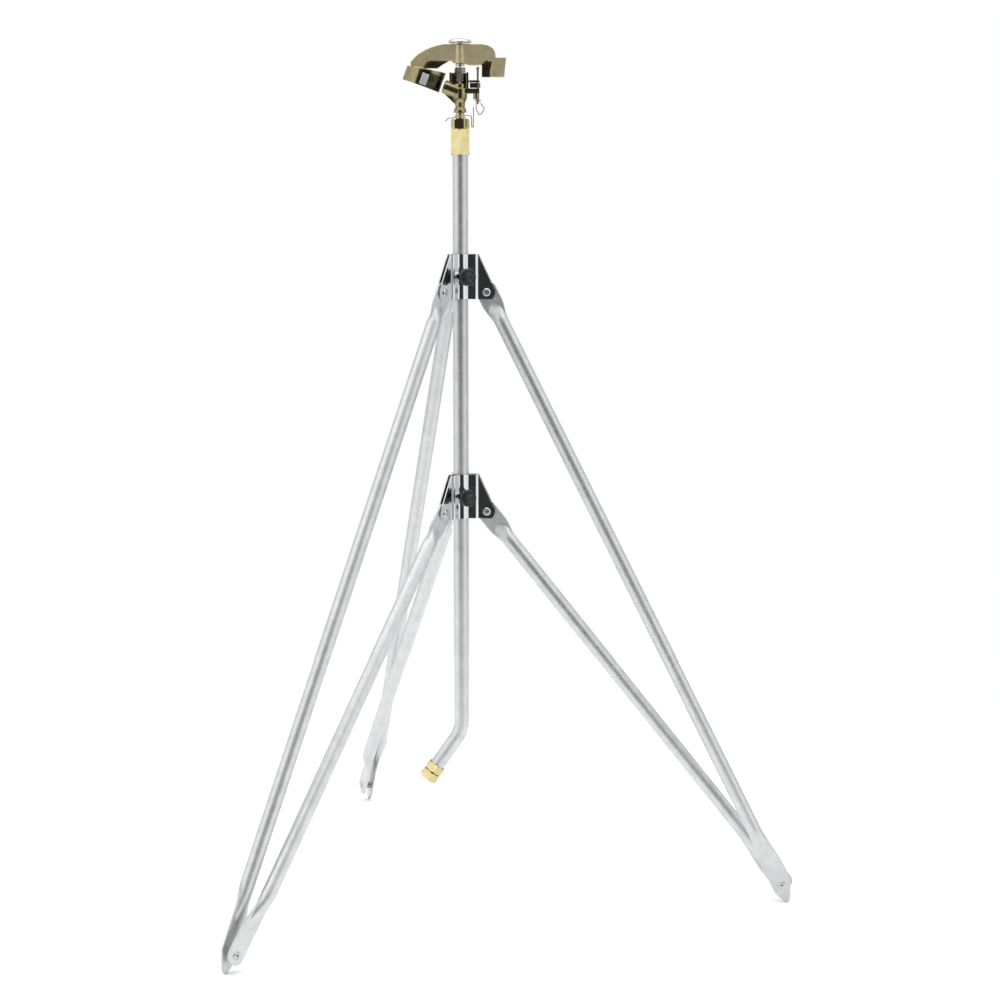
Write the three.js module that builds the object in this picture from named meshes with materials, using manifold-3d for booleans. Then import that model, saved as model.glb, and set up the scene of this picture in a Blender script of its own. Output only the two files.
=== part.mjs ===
// Impact sprinkler on a folding tripod: head, riser pipe, two stamped hubs, three legs and three struts.
// Millimetres, +Z up. Everything is laid out round the riser's axis (x = 0, y = 0, ground at z = 0), and the
// whole group is moved at the end so that its origin is the bottom centre of its box.
import * as THREE from "three";
import { mergeVertices } from "three/addons/utils/BufferGeometryUtils.js";
import Module from "manifold-3d";

const wasm = await Module();
wasm.setup();

// ---------------------------------------------------------------- driving dimensions
const deg = Math.PI / 180;
const GAP = 0.3; // between pieces that touch on the real object
const CLOSE_GAP = 0.1; // under rivet heads and between flat faces
const WELD = 1e-3;

const LEG_AZIMUTHS = [-9, 111, 231].map((angle) => angle * deg); // right, rear, left-front
const CLAMP_AZIMUTH = 291 * deg; // the knobs stand on the plate between the left-front and right legs

const PIPE_RADIUS = 21.3 / 2; // half-inch pipe
const PIPE_WALL = 2.6;
const PIPE_TOP = 1060;
const BEND_CORNER = 227; // height where the two straight stretches would meet
const BEND_ANGLE = 35 * deg;
const BEND_RADIUS = 46;
const INLET_START = 60.4; // from the bend's corner to the first brass hex, along the slanted stretch
const INLET_LENGTH = 11.6;
const SWIVEL_LENGTH = 12.6;
const INLET_FLATS = 24;
const HEX_CHAMFER = 1.4;

const TUBE_RADIUS = 10;
const TUBE_WALL = 1.2;
const PRESSED_THICKNESS = 3; // both walls of a tube end that is pressed flat
const PRESSED_FLAT = (Math.PI * (2 * TUBE_RADIUS - PRESSED_THICKNESS)) / 2; // the girth stays the same
const PRESSED_HALF_WIDTH = (PRESSED_FLAT + PRESSED_THICKNESS) / 2;

const UPPER_RIVET_Z = 850;
const LOWER_RIVET_Z = 544;
const FOOT_RIVET_Z = 25;
const FOOT_RIVET_R = 457; // from the riser's axis
const HUB_RIVET_R = 37;
const FOOT_FLAT_SIDE = 6.5; // the two pressed ends at a foot lie this far to each side of the leg's plane
const FOOT_TUBE_SIDE = 12; // and the round tubes splay this far, so that they pass each other when folded
const LEG_HUB_FLAT = 16; // from the hub rivet to where the round tube begins to form
const STRUT_HUB_FLAT = 22; // longer, because a strut's rivet moves in its slot
const FOLD_CLOSED = 6.7 * deg; // an upper leg's angle from the vertical when the stand is folded

const HUB_HEIGHT = 61.5;
const HUB_BELOW_RIVET = 9.5;
const HUB_TOP_R = 25;
const HUB_CORNER = 11.5;
const PLATE = 2;
const SADDLE_R = PIPE_RADIUS + 0.35;
const WING_SIDE = PRESSED_THICKNESS / 2 + 0.4; // from the leg's plane to the near face of a wing
const RIVET_R = 2.5;
const RIVET_HOLE_R = 2.8;
const RIVET_HEAD_R = 5.6;
const RIVET_HEAD = 1.6;
const RIVET_CROWN_R = 4;
const FOOT_SHANK_R = RIVET_R + 0.5;
const FOOT_COLLAR_R = 5;

const COUPLING_BOTTOM = 1037;
const COUPLING_TOP = 1072;
const COUPLING_FLATS = 25.4;
const NIPPLE_TOP = 1086; // of the bearing nipple's hex, which stands on the coupling
const NIPPLE_FLATS = 22.2;
const NECK_R = 6;
const NECK_TOP = 1093;
const STEM_R = 4.2;
const STEM_BORE = 3;
const STEM_TOP = 1110;
const COLLAR_WIRE_R = 0.8;

const JET_RISE = 21 * deg; // the barrel's angle above the horizontal
const BARREL_Z = 1121; // where the barrel's axis meets the shaft's axis
const ARM_HALF_WIDTH = 9;
const ARM_WALL = 3.2;
const ARM_TOP = 1185.8;
const ARM_NOSE_LOW = 1151;
const SPOON_TILT = 20 * deg;
const SPOON_CENTRE = new THREE.Vector3(-50, 11, 1139.8);
const SPOON_RADIUS = 27.3;
const SPOON_WALL = 3;
const SPOON_DROP = 10.3; // from the spoon's centre to its lower edge, along its own axis
const SPOON_RISE = 13.3; // and to its upper edge, which slopes up to the right
const SPOON_SLOPE = 8.5 * deg;
const SPOON_ROOF = 2.2;
const SPOON_START = 165 * deg;
const SPOON_END = 345 * deg;
const SHAFT_R = 2.4;
const SHAFT_BOTTOM = 1127.6;
const SHAFT_TOP = 1188.6;
const TRIP_X = 24.2;
const TRIP_Y = -3;
const TRIP_PIN_R = 1.4;
const TRIP_HOLE_R = TRIP_PIN_R + GAP;

const SMALL = 8; // sides of small, middling and large turned parts
const ROUND = 12;
const FINE = 16;

const finishes = {
  galvanised: { color: 0xc3c5c6, roughness: 0.42, metalness: 0.9 },
  darkChrome: { color: 0x2b2e33, roughness: 0.18, metalness: 0.95 },
  steel: { color: 0xc9c9c7, roughness: 0.3, metalness: 0.95 },
  brass: { color: 0xd9b565, roughness: 0.32, metalness: 0.95 },
  bronzeCast: { color: 0x9c8f6a, roughness: 0.5, metalness: 0.85 },
  springSteel: { color: 0x6d6c62, roughness: 0.4, metalness: 0.9 },
  blackPlastic: { color: 0x141414, roughness: 0.45, metalness: 0 },
  rubber: { color: 0x1c1c1c, roughness: 0.85, metalness: 0 },
};

// ---------------------------------------------------------------- shapes
function solidOf(geometry) {
  const bare = geometry.clone();
  bare.deleteAttribute("normal");
  bare.deleteAttribute("uv");
  const welded = mergeVertices(bare, WELD);
  const make = (triVerts) =>
    new wasm.Manifold(
      new wasm.Mesh({ numProp: 3, vertProperties: welded.attributes.position.array, triVerts }),
    );
  const triangles = new Uint32Array(welded.index.array);
  const made = make(triangles);
  return made.volume() < 0 ? make(triangles.reverse()) : made;
}

function geometryOf(solid) {
  const mesh = solid.getMesh();
  const geometry = new THREE.BufferGeometry();
  const places = new Float32Array(mesh.numVert * 3);
  for (let i = 0; i < mesh.numVert; i++) {
    places.set(mesh.vertProperties.subarray(i * mesh.numProp, i * mesh.numProp + 3), i * 3);
  }
  geometry.setAttribute("position", new THREE.BufferAttribute(places, 3));
  geometry.setIndex(new THREE.BufferAttribute(mesh.triVerts, 1));
  return geometry;
}

const join = (...geometries) => geometryOf(geometries.map(solidOf).reduce((a, b) => a.add(b)));
const cut = (body, ...tools) =>
  geometryOf(tools.map(solidOf).reduce((a, b) => a.subtract(b), solidOf(body)));
const common = (a, b) => geometryOf(solidOf(a).intersect(solidOf(b)));

// A solid turned about Z from [radius, height] pairs that start and end on the axis, or close on themselves.
function turned(profile, sides = ROUND, start = 0) {
  const points = profile.map(([r, z]) => new THREE.Vector2(r, z));
  return new THREE.LatheGeometry(points, sides, start).rotateX(Math.PI / 2);
}

function rod(radius, low, high, sides = ROUND) {
  return turned([[0, low], [radius, low], [radius, high], [0, high]], sides);
}

function ring(inner, outer, low, high, sides = ROUND) {
  return turned([[inner, low], [outer, low], [outer, high], [inner, high], [inner, low]], sides);
}

function box(x0, x1, y0, y1, z0, z1) {
  const made = new THREE.BoxGeometry(x1 - x0, y1 - y0, z1 - z0);
  return made.translate((x0 + x1) / 2, (y0 + y1) / 2, (z0 + z1) / 2);
}

function shapeOf(points) {
  return new THREE.Shape(points.map(([x, y]) => new THREE.Vector2(x, y)));
}

// An outline in the plan view, extruded from low to high.
function prism(shape, low, high, curveSegments = 6) {
  const options = { depth: high - low, bevelEnabled: false, curveSegments };
  return new THREE.ExtrudeGeometry(shape, options).translate(0, 0, low);
}

// An outline drawn in x and z, extruded along y from side to side.
function slab(shape, side0, side1, curveSegments = 6) {
  const made = prism(shape, 0, side1 - side0, curveSegments).rotateX(Math.PI / 2);
  return made.translate(0, side1, 0);
}

// A hexagonal prism with chamfered corners; flats face +X and -X.
function hexagon(flats, low, high, chamfer) {
  const corner = flats / Math.sqrt(3);
  const outline = Array.from({ length: 6 }, (_, i) => {
    const angle = (30 + 60 * i) * deg;
    return [corner * Math.cos(angle), corner * Math.sin(angle)];
  });
  const cap = turned([
    [0, low], [corner - chamfer, low], [corner, low + chamfer],
    [corner, high - chamfer], [corner - chamfer, high], [0, high],
  ], FINE);
  return common(prism(shapeOf(outline), low, high), cap);
}

// A round wire through points, with flat ends.
function wire(points, radius, steps, sides = 6) {
  const path = new THREE.CatmullRomCurve3(points.map((p) => new THREE.Vector3(...p)));
  const section = new THREE.Shape();
  section.absarc(0, 0, radius, 0, 2 * Math.PI);
  return new THREE.ExtrudeGeometry(section, { steps, extrudePath: path, curveSegments: sides / 2 });
}

// Points of a helix about Z, or of a flat ring when the rise is zero.
function helix(radius, low, high, turns, start, pointsPerTurn = 10) {
  const count = Math.round(turns * pointsPerTurn);
  return Array.from({ length: count + 1 }, (_, i) => {
    const part = i / count;
    const angle = start + turns * 2 * Math.PI * part;
    return [radius * Math.cos(angle), radius * Math.sin(angle), low + (high - low) * part];
  });
}

// ---------------------------------------------------------------- scene graph
const group = new THREE.Group();

function frameAt(parent, name, x = 0, y = 0, z = 0) {
  const made = new THREE.Group();
  made.name = name;
  made.position.set(x, y, z);
  parent.add(made);
  return made;
}

function add(parent, name, finish, geometry) {
  const mesh = new THREE.Mesh(geometry, new THREE.MeshStandardMaterial(finishes[finish]));
  mesh.name = name;
  parent.add(mesh);
  return mesh;
}

// ---------------------------------------------------------------- leg tubes
const upperLength = Math.hypot(FOOT_RIVET_R - HUB_RIVET_R, UPPER_RIVET_Z - FOOT_RIVET_Z);
const strutLength = Math.hypot(FOOT_RIVET_R - HUB_RIVET_R, LOWER_RIVET_Z - FOOT_RIVET_Z);
const upperAngle = Math.atan2(FOOT_RIVET_R - HUB_RIVET_R, UPPER_RIVET_Z - FOOT_RIVET_Z);
const strutAngle = Math.atan2(FOOT_RIVET_R - HUB_RIVET_R, LOWER_RIVET_Z - FOOT_RIVET_Z);

// Outline of a pressed tube: two half circles of the given thickness joined by flats.
function pressedOutline(thickness, wall) {
  const flat = (Math.PI * (2 * TUBE_RADIUS - thickness)) / 2;
  const radius = thickness / 2 - wall;
  const steps = 4;
  const points = [];
  for (const side of [1, -1]) {
    for (let i = 0; i <= steps; i++) {
      const angle = side * 90 * deg * (1 - (2 * i) / steps);
      points.push([side * (flat / 2 + radius * Math.cos(angle)), radius * Math.sin(angle)]);
    }
  }
  return points;
}

// A tube along -Z from the hub rivet at the origin to the foot rivet, both ends pressed flat.
// side is +1 or -1: the side of the leg's plane on which its foot end lies.
function pressedTube(length, side, hubFlat) {
  const hubRound = hubFlat + 30;
  const footFlat = 20;
  const footRound = 92;
  const past = 26; // beyond each rivet, trimmed by the end's outline
  const ease = (t) => t * t * (3 - 2 * t);
  const stations = [];
  const thicknessAt = (t) => PRESSED_THICKNESS + (2 * TUBE_RADIUS - PRESSED_THICKNESS) * ease(t);
  stations.push({ along: -past, thickness: PRESSED_THICKNESS, side: 0 });
  for (const t of [0, 0.5, 1]) {
    stations.push({ along: hubFlat + (hubRound - hubFlat) * t, thickness: thicknessAt(t), side: 0 });
  }
  for (const t of [1, 0.5, 0]) {
    const along = length - footFlat - (footRound - footFlat) * t;
    const drift = FOOT_FLAT_SIDE + (FOOT_TUBE_SIDE - FOOT_FLAT_SIDE) * ease(t);
    stations.push({ along, thickness: thicknessAt(t), side: side * drift });
  }
  stations.push({ along: length + past, thickness: PRESSED_THICKNESS, side: side * FOOT_FLAT_SIDE });

  const places = [];
  const rings = stations.map((station) =>
    [0, TUBE_WALL].map((wall) =>
      pressedOutline(station.thickness, wall).map(([across, through]) => {
        places.push(across, station.side + through, -station.along);
        return places.length / 3 - 1;
      }),
    ),
  );
  const triangles = [];
  const skin = (a, b) => {
    a.forEach((_, i) => {
      const next = (i + 1) % a.length;
      triangles.push(a[i], a[next], b[next], a[i], b[next], b[i]);
    });
  };
  for (let i = 0; i + 1 < rings.length; i++) {
    skin(rings[i][0], rings[i + 1][0]);
    skin(rings[i + 1][1], rings[i][1]);
  }
  skin(rings[0][1], rings[0][0]);
  skin(rings.at(-1)[0], rings.at(-1)[1]);
  const geometry = new THREE.BufferGeometry();
  geometry.setAttribute("position", new THREE.BufferAttribute(new Float32Array(places), 3));
  geometry.setIndex(triangles);
  return geometry;
}

// The outline that an upper leg keeps: round above its hub rivet, and at the foot a spade that is cut
// upright on its outer side and comes to a point on the ground.
function upperLegOutline() {
  const wide = 2 * PRESSED_HALF_WIDTH;
  const atFoot = (radial, height) => [
    radial * Math.cos(upperAngle) + height * Math.sin(upperAngle),
    -(upperLength + radial * Math.sin(upperAngle) - height * Math.cos(upperAngle)),
  ];
  const spade = [[12, 40], [12, -19], [9, -FOOT_RIVET_Z], [4, -FOOT_RIVET_Z], [-12, -11]];
  const shape = new THREE.Shape();
  shape.absarc(0, 0, PRESSED_HALF_WIDTH, Math.PI, 0, true);
  shape.lineTo(wide, -PRESSED_HALF_WIDTH);
  shape.lineTo(wide, atFoot(...spade[0])[1]);
  spade.forEach((point) => shape.lineTo(...atFoot(...point)));
  shape.lineTo(-wide, -(upperLength - PRESSED_HALF_WIDTH));
  shape.lineTo(-wide, -PRESSED_HALF_WIDTH);
  return shape;
}

// The outline that a strut keeps: round past both rivets.
function strutOutline() {
  const wide = 2 * PRESSED_HALF_WIDTH;
  const shape = new THREE.Shape();
  shape.absarc(0, 0, PRESSED_HALF_WIDTH, Math.PI, 0, true);
  shape.lineTo(wide, -PRESSED_HALF_WIDTH);
  shape.lineTo(wide, -(strutLength - 2));
  shape.lineTo(PRESSED_HALF_WIDTH - 1, -(strutLength - 2));
  shape.absarc(0, -strutLength, PRESSED_HALF_WIDTH - 1, 0, Math.PI, true);
  shape.lineTo(-wide, -(strutLength - 2));
  shape.lineTo(-wide, -PRESSED_HALF_WIDTH);
  return shape;
}

// A hole through a pressed end, across the leg's plane.
function rivetHole(radius, along) {
  return rod(radius, -3 * TUBE_RADIUS, 3 * TUBE_RADIUS, ROUND).rotateX(Math.PI / 2).translate(0, 0, -along);
}

// In a strut's own frame: where the lower hub's rivet stands when an upper leg has folded by a given angle,
// if the hub and the strut both follow the leg in fixed ratio.
function rivetInStrut(fold) {
  const closedStrut = Math.asin((upperLength * Math.sin(FOLD_CLOSED)) / strutLength);
  const share = fold / (upperAngle - FOLD_CLOSED);
  const leg = upperAngle - fold;
  const strut = strutAngle - (strutAngle - closedStrut) * share;
  const openDrop = UPPER_RIVET_Z - LOWER_RIVET_Z;
  const closedDrop = upperLength * Math.cos(FOLD_CLOSED) - strutLength * Math.cos(closedStrut);
  const hubDrop = openDrop + (closedDrop - openDrop) * share;
  const endX = upperLength * Math.sin(leg) - strutLength * Math.sin(strut);
  const endZ = -upperLength * Math.cos(leg) + strutLength * Math.cos(strut);
  const dx = -endX;
  const dz = -hubDrop - endZ;
  return [
    dx * Math.cos(strut) + dz * Math.sin(strut),
    -dx * Math.sin(strut) + dz * Math.cos(strut),
  ];
}

// The clearance slot in a strut's hub end, along the way that the rivet goes in it during a fold.
function rivetSlot() {
  const steps = 6;
  const holes = [];
  for (let i = 0; i <= steps; i++) {
    holes.push(rivetInStrut(((upperAngle - FOLD_CLOSED) * i) / steps));
  }
  const far = holes.reduce((a, b) => (Math.hypot(...b) > Math.hypot(...a) ? b : a));
  const reach = Math.hypot(...far) + GAP;
  const bow = 1.1; // the way there and back isn't quite straight
  const radius = RIVET_HOLE_R + bow;
  const shape = new THREE.Shape();
  shape.absarc(0, 0, radius, 90 * deg, 270 * deg);
  shape.lineTo(reach, -radius);
  shape.absarc(reach, 0, radius, -90 * deg, 90 * deg);
  const made = prism(shape, -PRESSED_THICKNESS, PRESSED_THICKNESS).rotateX(Math.PI / 2);
  return made.rotateY(-Math.atan2(far[1], far[0]));
}

function upperLeg() {
  const tube = pressedTube(upperLength, -1, LEG_HUB_FLAT);
  const kept = common(tube, slab(upperLegOutline(), -3 * TUBE_RADIUS, 3 * TUBE_RADIUS));
  return cut(kept, rivetHole(RIVET_HOLE_R, 0), rivetHole(FOOT_SHANK_R + GAP, upperLength));
}

function strut() {
  const tube = pressedTube(strutLength, 1, STRUT_HUB_FLAT);
  const kept = common(tube, slab(strutOutline(), -3 * TUBE_RADIUS, 3 * TUBE_RADIUS));
  return cut(kept, rivetSlot(), rivetHole(FOOT_SHANK_R + GAP, strutLength));
}

// A shouldered rivet across a foot: its collar keeps the two pressed ends apart.
function footRivet() {
  const inner = FOOT_FLAT_SIDE - PRESSED_THICKNESS / 2 - CLOSE_GAP;
  const outer = FOOT_FLAT_SIDE + PRESSED_THICKNESS / 2 + CLOSE_GAP;
  return turned([
    [0, -outer - RIVET_HEAD], [RIVET_CROWN_R, -outer - RIVET_HEAD], [RIVET_HEAD_R, -outer],
    [FOOT_SHANK_R, -outer], [FOOT_SHANK_R, -inner], [FOOT_COLLAR_R, -inner], [FOOT_COLLAR_R, inner],
    [FOOT_SHANK_R, inner], [FOOT_SHANK_R, outer],
    [RIVET_HEAD_R, outer], [RIVET_CROWN_R, outer + RIVET_HEAD], [0, outer + RIVET_HEAD],
  ], SMALL).rotateX(90 * deg);
}

// ---------------------------------------------------------------- hubs
// One stamped plate: a saddle against the pipe and a wing along each of its two legs. Drawn about the hub's
// rivet level (z = 0), for the legs at azimuths from and to.
function hubPlate(from, to) {
  const far = HUB_RIVET_R + HUB_CORNER + 4;
  const wing = (radius, side, azimuth) => {
    const x = Math.sqrt(Math.max(radius * radius - side * side, 0));
    return [
      x * Math.cos(azimuth) - side * Math.sin(azimuth),
      x * Math.sin(azimuth) + side * Math.cos(azimuth),
    ];
  };
  const near = WING_SIDE;
  const back = WING_SIDE + PLATE;
  const inner = SADDLE_R;
  const outer = SADDLE_R + PLATE;
  const arcSteps = 5;
  const innerStart = from + Math.asin(near / inner);
  const innerEnd = to - Math.asin(near / inner);
  const outerStart = from + Math.asin(back / outer);
  const outerEnd = to - Math.asin(back / outer);
  const outline = [wing(far, near, from)];
  for (let i = 0; i <= arcSteps; i++) {
    const angle = innerStart + ((innerEnd - innerStart) * i) / arcSteps;
    outline.push([inner * Math.cos(angle), inner * Math.sin(angle)]);
  }
  outline.push(wing(far, -near, to), wing(far, -back, to));
  for (let i = arcSteps; i >= 0; i--) {
    const angle = outerStart + ((outerEnd - outerStart) * i) / arcSteps;
    outline.push([outer * Math.cos(angle), outer * Math.sin(angle)]);
  }
  outline.push(wing(far, back, from));
  const sheet = prism(shapeOf(outline), -HUB_BELOW_RIVET, HUB_HEIGHT - HUB_BELOW_RIVET);

  // The wings' outline, as a six-sided turned solid with one face square to each leg.
  const reach = 1 / Math.cos(30 * deg);
  const profile = [[0, -HUB_BELOW_RIVET], [HUB_RIVET_R + 6.5, -HUB_BELOW_RIVET]];
  for (const angle of [-50, -25, 0, 22]) {
    profile.push([HUB_RIVET_R + HUB_CORNER * Math.cos(angle * deg), HUB_CORNER * Math.sin(angle * deg)]);
  }
  profile.push([HUB_TOP_R, HUB_HEIGHT - HUB_BELOW_RIVET], [0, HUB_HEIGHT - HUB_BELOW_RIVET]);
  const trim = turned(profile.map(([r, z]) => [r * reach, z]), 6).rotateZ(LEG_AZIMUTHS[0] + 30 * deg);
  const holes = [from, to].map((azimuth) =>
    rod(RIVET_HOLE_R, -3 * PLATE, 3 * PLATE, ROUND).rotateX(90 * deg).translate(HUB_RIVET_R, 0, 0).rotateZ(azimuth),
  );
  return cut(common(sheet, trim), ...holes);
}

function hubRivet() {
  const face = WING_SIDE + PLATE + CLOSE_GAP;
  const top = face + RIVET_HEAD;
  return turned([
    [0, -top], [RIVET_CROWN_R, -top], [RIVET_HEAD_R, -face], [RIVET_R, -face],
    [RIVET_R, face], [RIVET_HEAD_R, face], [RIVET_CROWN_R, top], [0, top],
  ], SMALL).rotateX(90 * deg);
}

const CLAMP_Z = HUB_HEIGHT / 2 - HUB_BELOW_RIVET;
const BOSS_OUT = 20;
const KNOB_OUT = 39;
const SCREW_R = 3;

// The clamp's pieces are drawn along +X from the riser's axis, then turned to the clamp's azimuth.
const alongX = (geometry) => geometry.rotateY(90 * deg);

function clampBoss() {
  return alongX(ring(SCREW_R + GAP, 7, SADDLE_R + PLATE + CLOSE_GAP, BOSS_OUT, 12));
}

function clampScrew() {
  return alongX(rod(SCREW_R, PIPE_RADIUS + GAP, KNOB_OUT - 6, 12));
}

function clampKnob() {
  const hollow = SCREW_R + CLOSE_GAP;
  const base = BOSS_OUT + 1;
  return alongX(turned([
    [hollow, base], [8, base], [12, base + 4], [12, base + 9], [11, base + 10.2],
    [6.6, base + 10.6], [5.4, KNOB_OUT], [0, KNOB_OUT], [0, KNOB_OUT - 5.8],
    [hollow, KNOB_OUT - 5.8], [hollow, base],
  ], FINE));
}

function addHub(level, z) {
  const hub = frameAt(group, `${level}_hub`, 0, 0, z);
  LEG_AZIMUTHS.forEach((azimuth, i) => {
    const next = azimuth + 120 * deg;
    const screwWay = alongX(rod(SCREW_R + GAP, PIPE_RADIUS, BOSS_OUT, 12))
      .translate(0, 0, CLAMP_Z)
      .rotateZ(CLAMP_AZIMUTH);
    const plate = hubPlate(azimuth, next);
    const isFront = i === LEG_AZIMUTHS.length - 1;
    add(hub, `${level}_hub_plate_${i + 1}`, "darkChrome", isFront ? cut(plate, screwWay) : plate);
    const rivet = add(hub, `${level}_hub_rivet_${i + 1}`, "steel", hubRivet());
    rivet.position.set(HUB_RIVET_R * Math.cos(azimuth), HUB_RIVET_R * Math.sin(azimuth), 0);
    rivet.rotation.z = azimuth;
  });
  const clamp = frameAt(hub, `${level}_clamp`, 0, 0, CLAMP_Z);
  clamp.rotation.z = CLAMP_AZIMUTH;
  add(clamp, `${level}_clamp_boss`, "darkChrome", clampBoss());
  add(clamp, `${level}_clamp_screw`, "steel", clampScrew());
  add(clamp, `${level}_clamp_knob`, "blackPlastic", clampKnob());
}

function addLegs() {
  LEG_AZIMUTHS.forEach((azimuth, i) => {
    const plane = frameAt(group, `leg_plane_${i + 1}`);
    plane.rotation.z = azimuth;
    const leg = frameAt(plane, `upper_leg_pivot_${i + 1}`, HUB_RIVET_R, 0, UPPER_RIVET_Z);
    leg.rotation.y = -upperAngle;
    add(leg, `upper_leg_${i + 1}`, "galvanised", upperLeg());
    const rivet = add(leg, `foot_rivet_${i + 1}`, "steel", footRivet());
    rivet.position.z = -upperLength;
    const lower = frameAt(plane, `strut_hub_end_${i + 1}`, HUB_RIVET_R, 0, LOWER_RIVET_Z);
    lower.rotation.y = -strutAngle;
    add(lower, `lower_leg_${i + 1}`, "galvanised", strut());
    frameAt(plane, `foot_pivot_${i + 1}`, FOOT_RIVET_R, 0, FOOT_RIVET_Z);
  });
}

// ---------------------------------------------------------------- riser and inlet
const slantX = -Math.sin(BEND_ANGLE);
const slantZ = -Math.cos(BEND_ANGLE);
const bendTangent = BEND_RADIUS * Math.tan(BEND_ANGLE / 2);

// A point on the slanted stretch, at a distance from the bend's corner.
const onSlant = (distance) => new THREE.Vector3(slantX * distance, 0, BEND_CORNER + slantZ * distance);

function riserPipe() {
  const pipeEnd = onSlant(INLET_START + INLET_LENGTH - 1);
  const path = new THREE.CurvePath();
  const bendStart = new THREE.Vector3(0, 0, BEND_CORNER + bendTangent);
  const bendEnd = onSlant(bendTangent);
  const bends = 6;
  const centreX = -BEND_RADIUS;
  const centreZ = BEND_CORNER + bendTangent;
  const places = [new THREE.Vector3(0, 0, PIPE_TOP), bendStart];
  for (let i = 1; i < bends; i++) {
    const angle = (BEND_ANGLE * i) / bends;
    places.push(new THREE.Vector3(
      centreX + BEND_RADIUS * Math.cos(angle), 0, centreZ - BEND_RADIUS * Math.sin(angle)));
  }
  places.push(bendEnd, pipeEnd);
  for (let i = 0; i + 1 < places.length; i++) {
    path.add(new THREE.LineCurve3(places[i], places[i + 1]));
  }
  const sections = places.map((place, i) => {
    const before = places[Math.max(i - 1, 0)];
    const after = places[Math.min(i + 1, places.length - 1)];
    const along = new THREE.Vector3();
    if (i > 0) along.add(place.clone().sub(before).normalize());
    if (i + 1 < places.length) along.add(after.clone().sub(place).normalize());
    return { place, along: along.normalize() };
  });
  const corners = [];
  const rings = sections.map(({ place, along }) =>
    [PIPE_RADIUS, PIPE_RADIUS - PIPE_WALL].map((radius) =>
      Array.from({ length: ROUND }, (_, i) => {
        const angle = (2 * Math.PI * i) / ROUND;
        const across = new THREE.Vector3(-along.z, 0, along.x).multiplyScalar(radius * Math.cos(angle));
        corners.push(place.x + across.x, radius * Math.sin(angle), place.z + across.z);
        return corners.length / 3 - 1;
      }),
    ),
  );
  const triangles = [];
  const skin = (a, b) => {
    a.forEach((_, i) => {
      const next = (i + 1) % a.length;
      triangles.push(a[i], b[i], b[next], a[i], b[next], a[next]);
    });
  };
  for (let i = 0; i + 1 < rings.length; i++) {
    skin(rings[i][0], rings[i + 1][0]);
    skin(rings[i + 1][1], rings[i][1]);
  }
  skin(rings[0][1], rings[0][0]);
  skin(rings.at(-1)[0], rings.at(-1)[1]);
  const geometry = new THREE.BufferGeometry();
  geometry.setAttribute("position", new THREE.BufferAttribute(new Float32Array(corners), 3));
  geometry.setIndex(triangles);
  return geometryOf(solidOf(geometry));
}

function addRiser() {
  add(group, "riser_pipe", "galvanised", riserPipe());
  const socket = PIPE_RADIUS + GAP;
  const coupling = hexagon(COUPLING_FLATS, COUPLING_BOTTOM, COUPLING_TOP, 1.6);
  add(group, "riser_coupling", "brass", cut(coupling, rod(socket, COUPLING_BOTTOM - 1, COUPLING_TOP + 1, FINE)));

  // The inlet's pieces are drawn along +Z from the first hex, then turned on to the slanted stretch.
  const inlet = frameAt(group, "inlet", ...onSlant(INLET_START).toArray());
  inlet.rotation.y = Math.PI + BEND_ANGLE;
  const bore = 6;
  const neck = 8.2; // outer radius of the tail that the swivel nut turns on
  const flange = 1.2; // at the end of that tail
  const tail = INLET_LENGTH + 3.9;
  const adapter = hexagon(INLET_FLATS, 0, INLET_LENGTH, HEX_CHAMFER);
  const adapterTail = turned([
    [0, INLET_LENGTH - 1], [neck, INLET_LENGTH - 1], [neck, tail - flange], [neck + 1, tail - flange],
    [neck + 1, tail], [0, tail],
  ], FINE);
  add(inlet, "inlet_adapter", "brass", cut(
    join(adapter, adapterTail), rod(socket, -1, INLET_LENGTH - 1 + GAP, FINE), rod(bore, 0, tail + 1, FINE)));

  const nutLow = INLET_LENGTH + 1;
  const nutHigh = nutLow + SWIVEL_LENGTH;
  const land = nutLow + 1.4; // the lip behind the tail's flange
  const threadR = 10.2;
  const washer = 1.5;
  const nut = hexagon(INLET_FLATS, nutLow, nutHigh, HEX_CHAMFER);
  add(inlet, "hose_swivel_nut", "brass", cut(
    nut, rod(neck + 0.4, nutLow - 1, land, FINE), rod(threadR, land, nutHigh + 1, FINE)));
  add(inlet, "hose_washer", "rubber", ring(bore, threadR - 0.6, tail + GAP, tail + GAP + washer, FINE));
}

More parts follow.
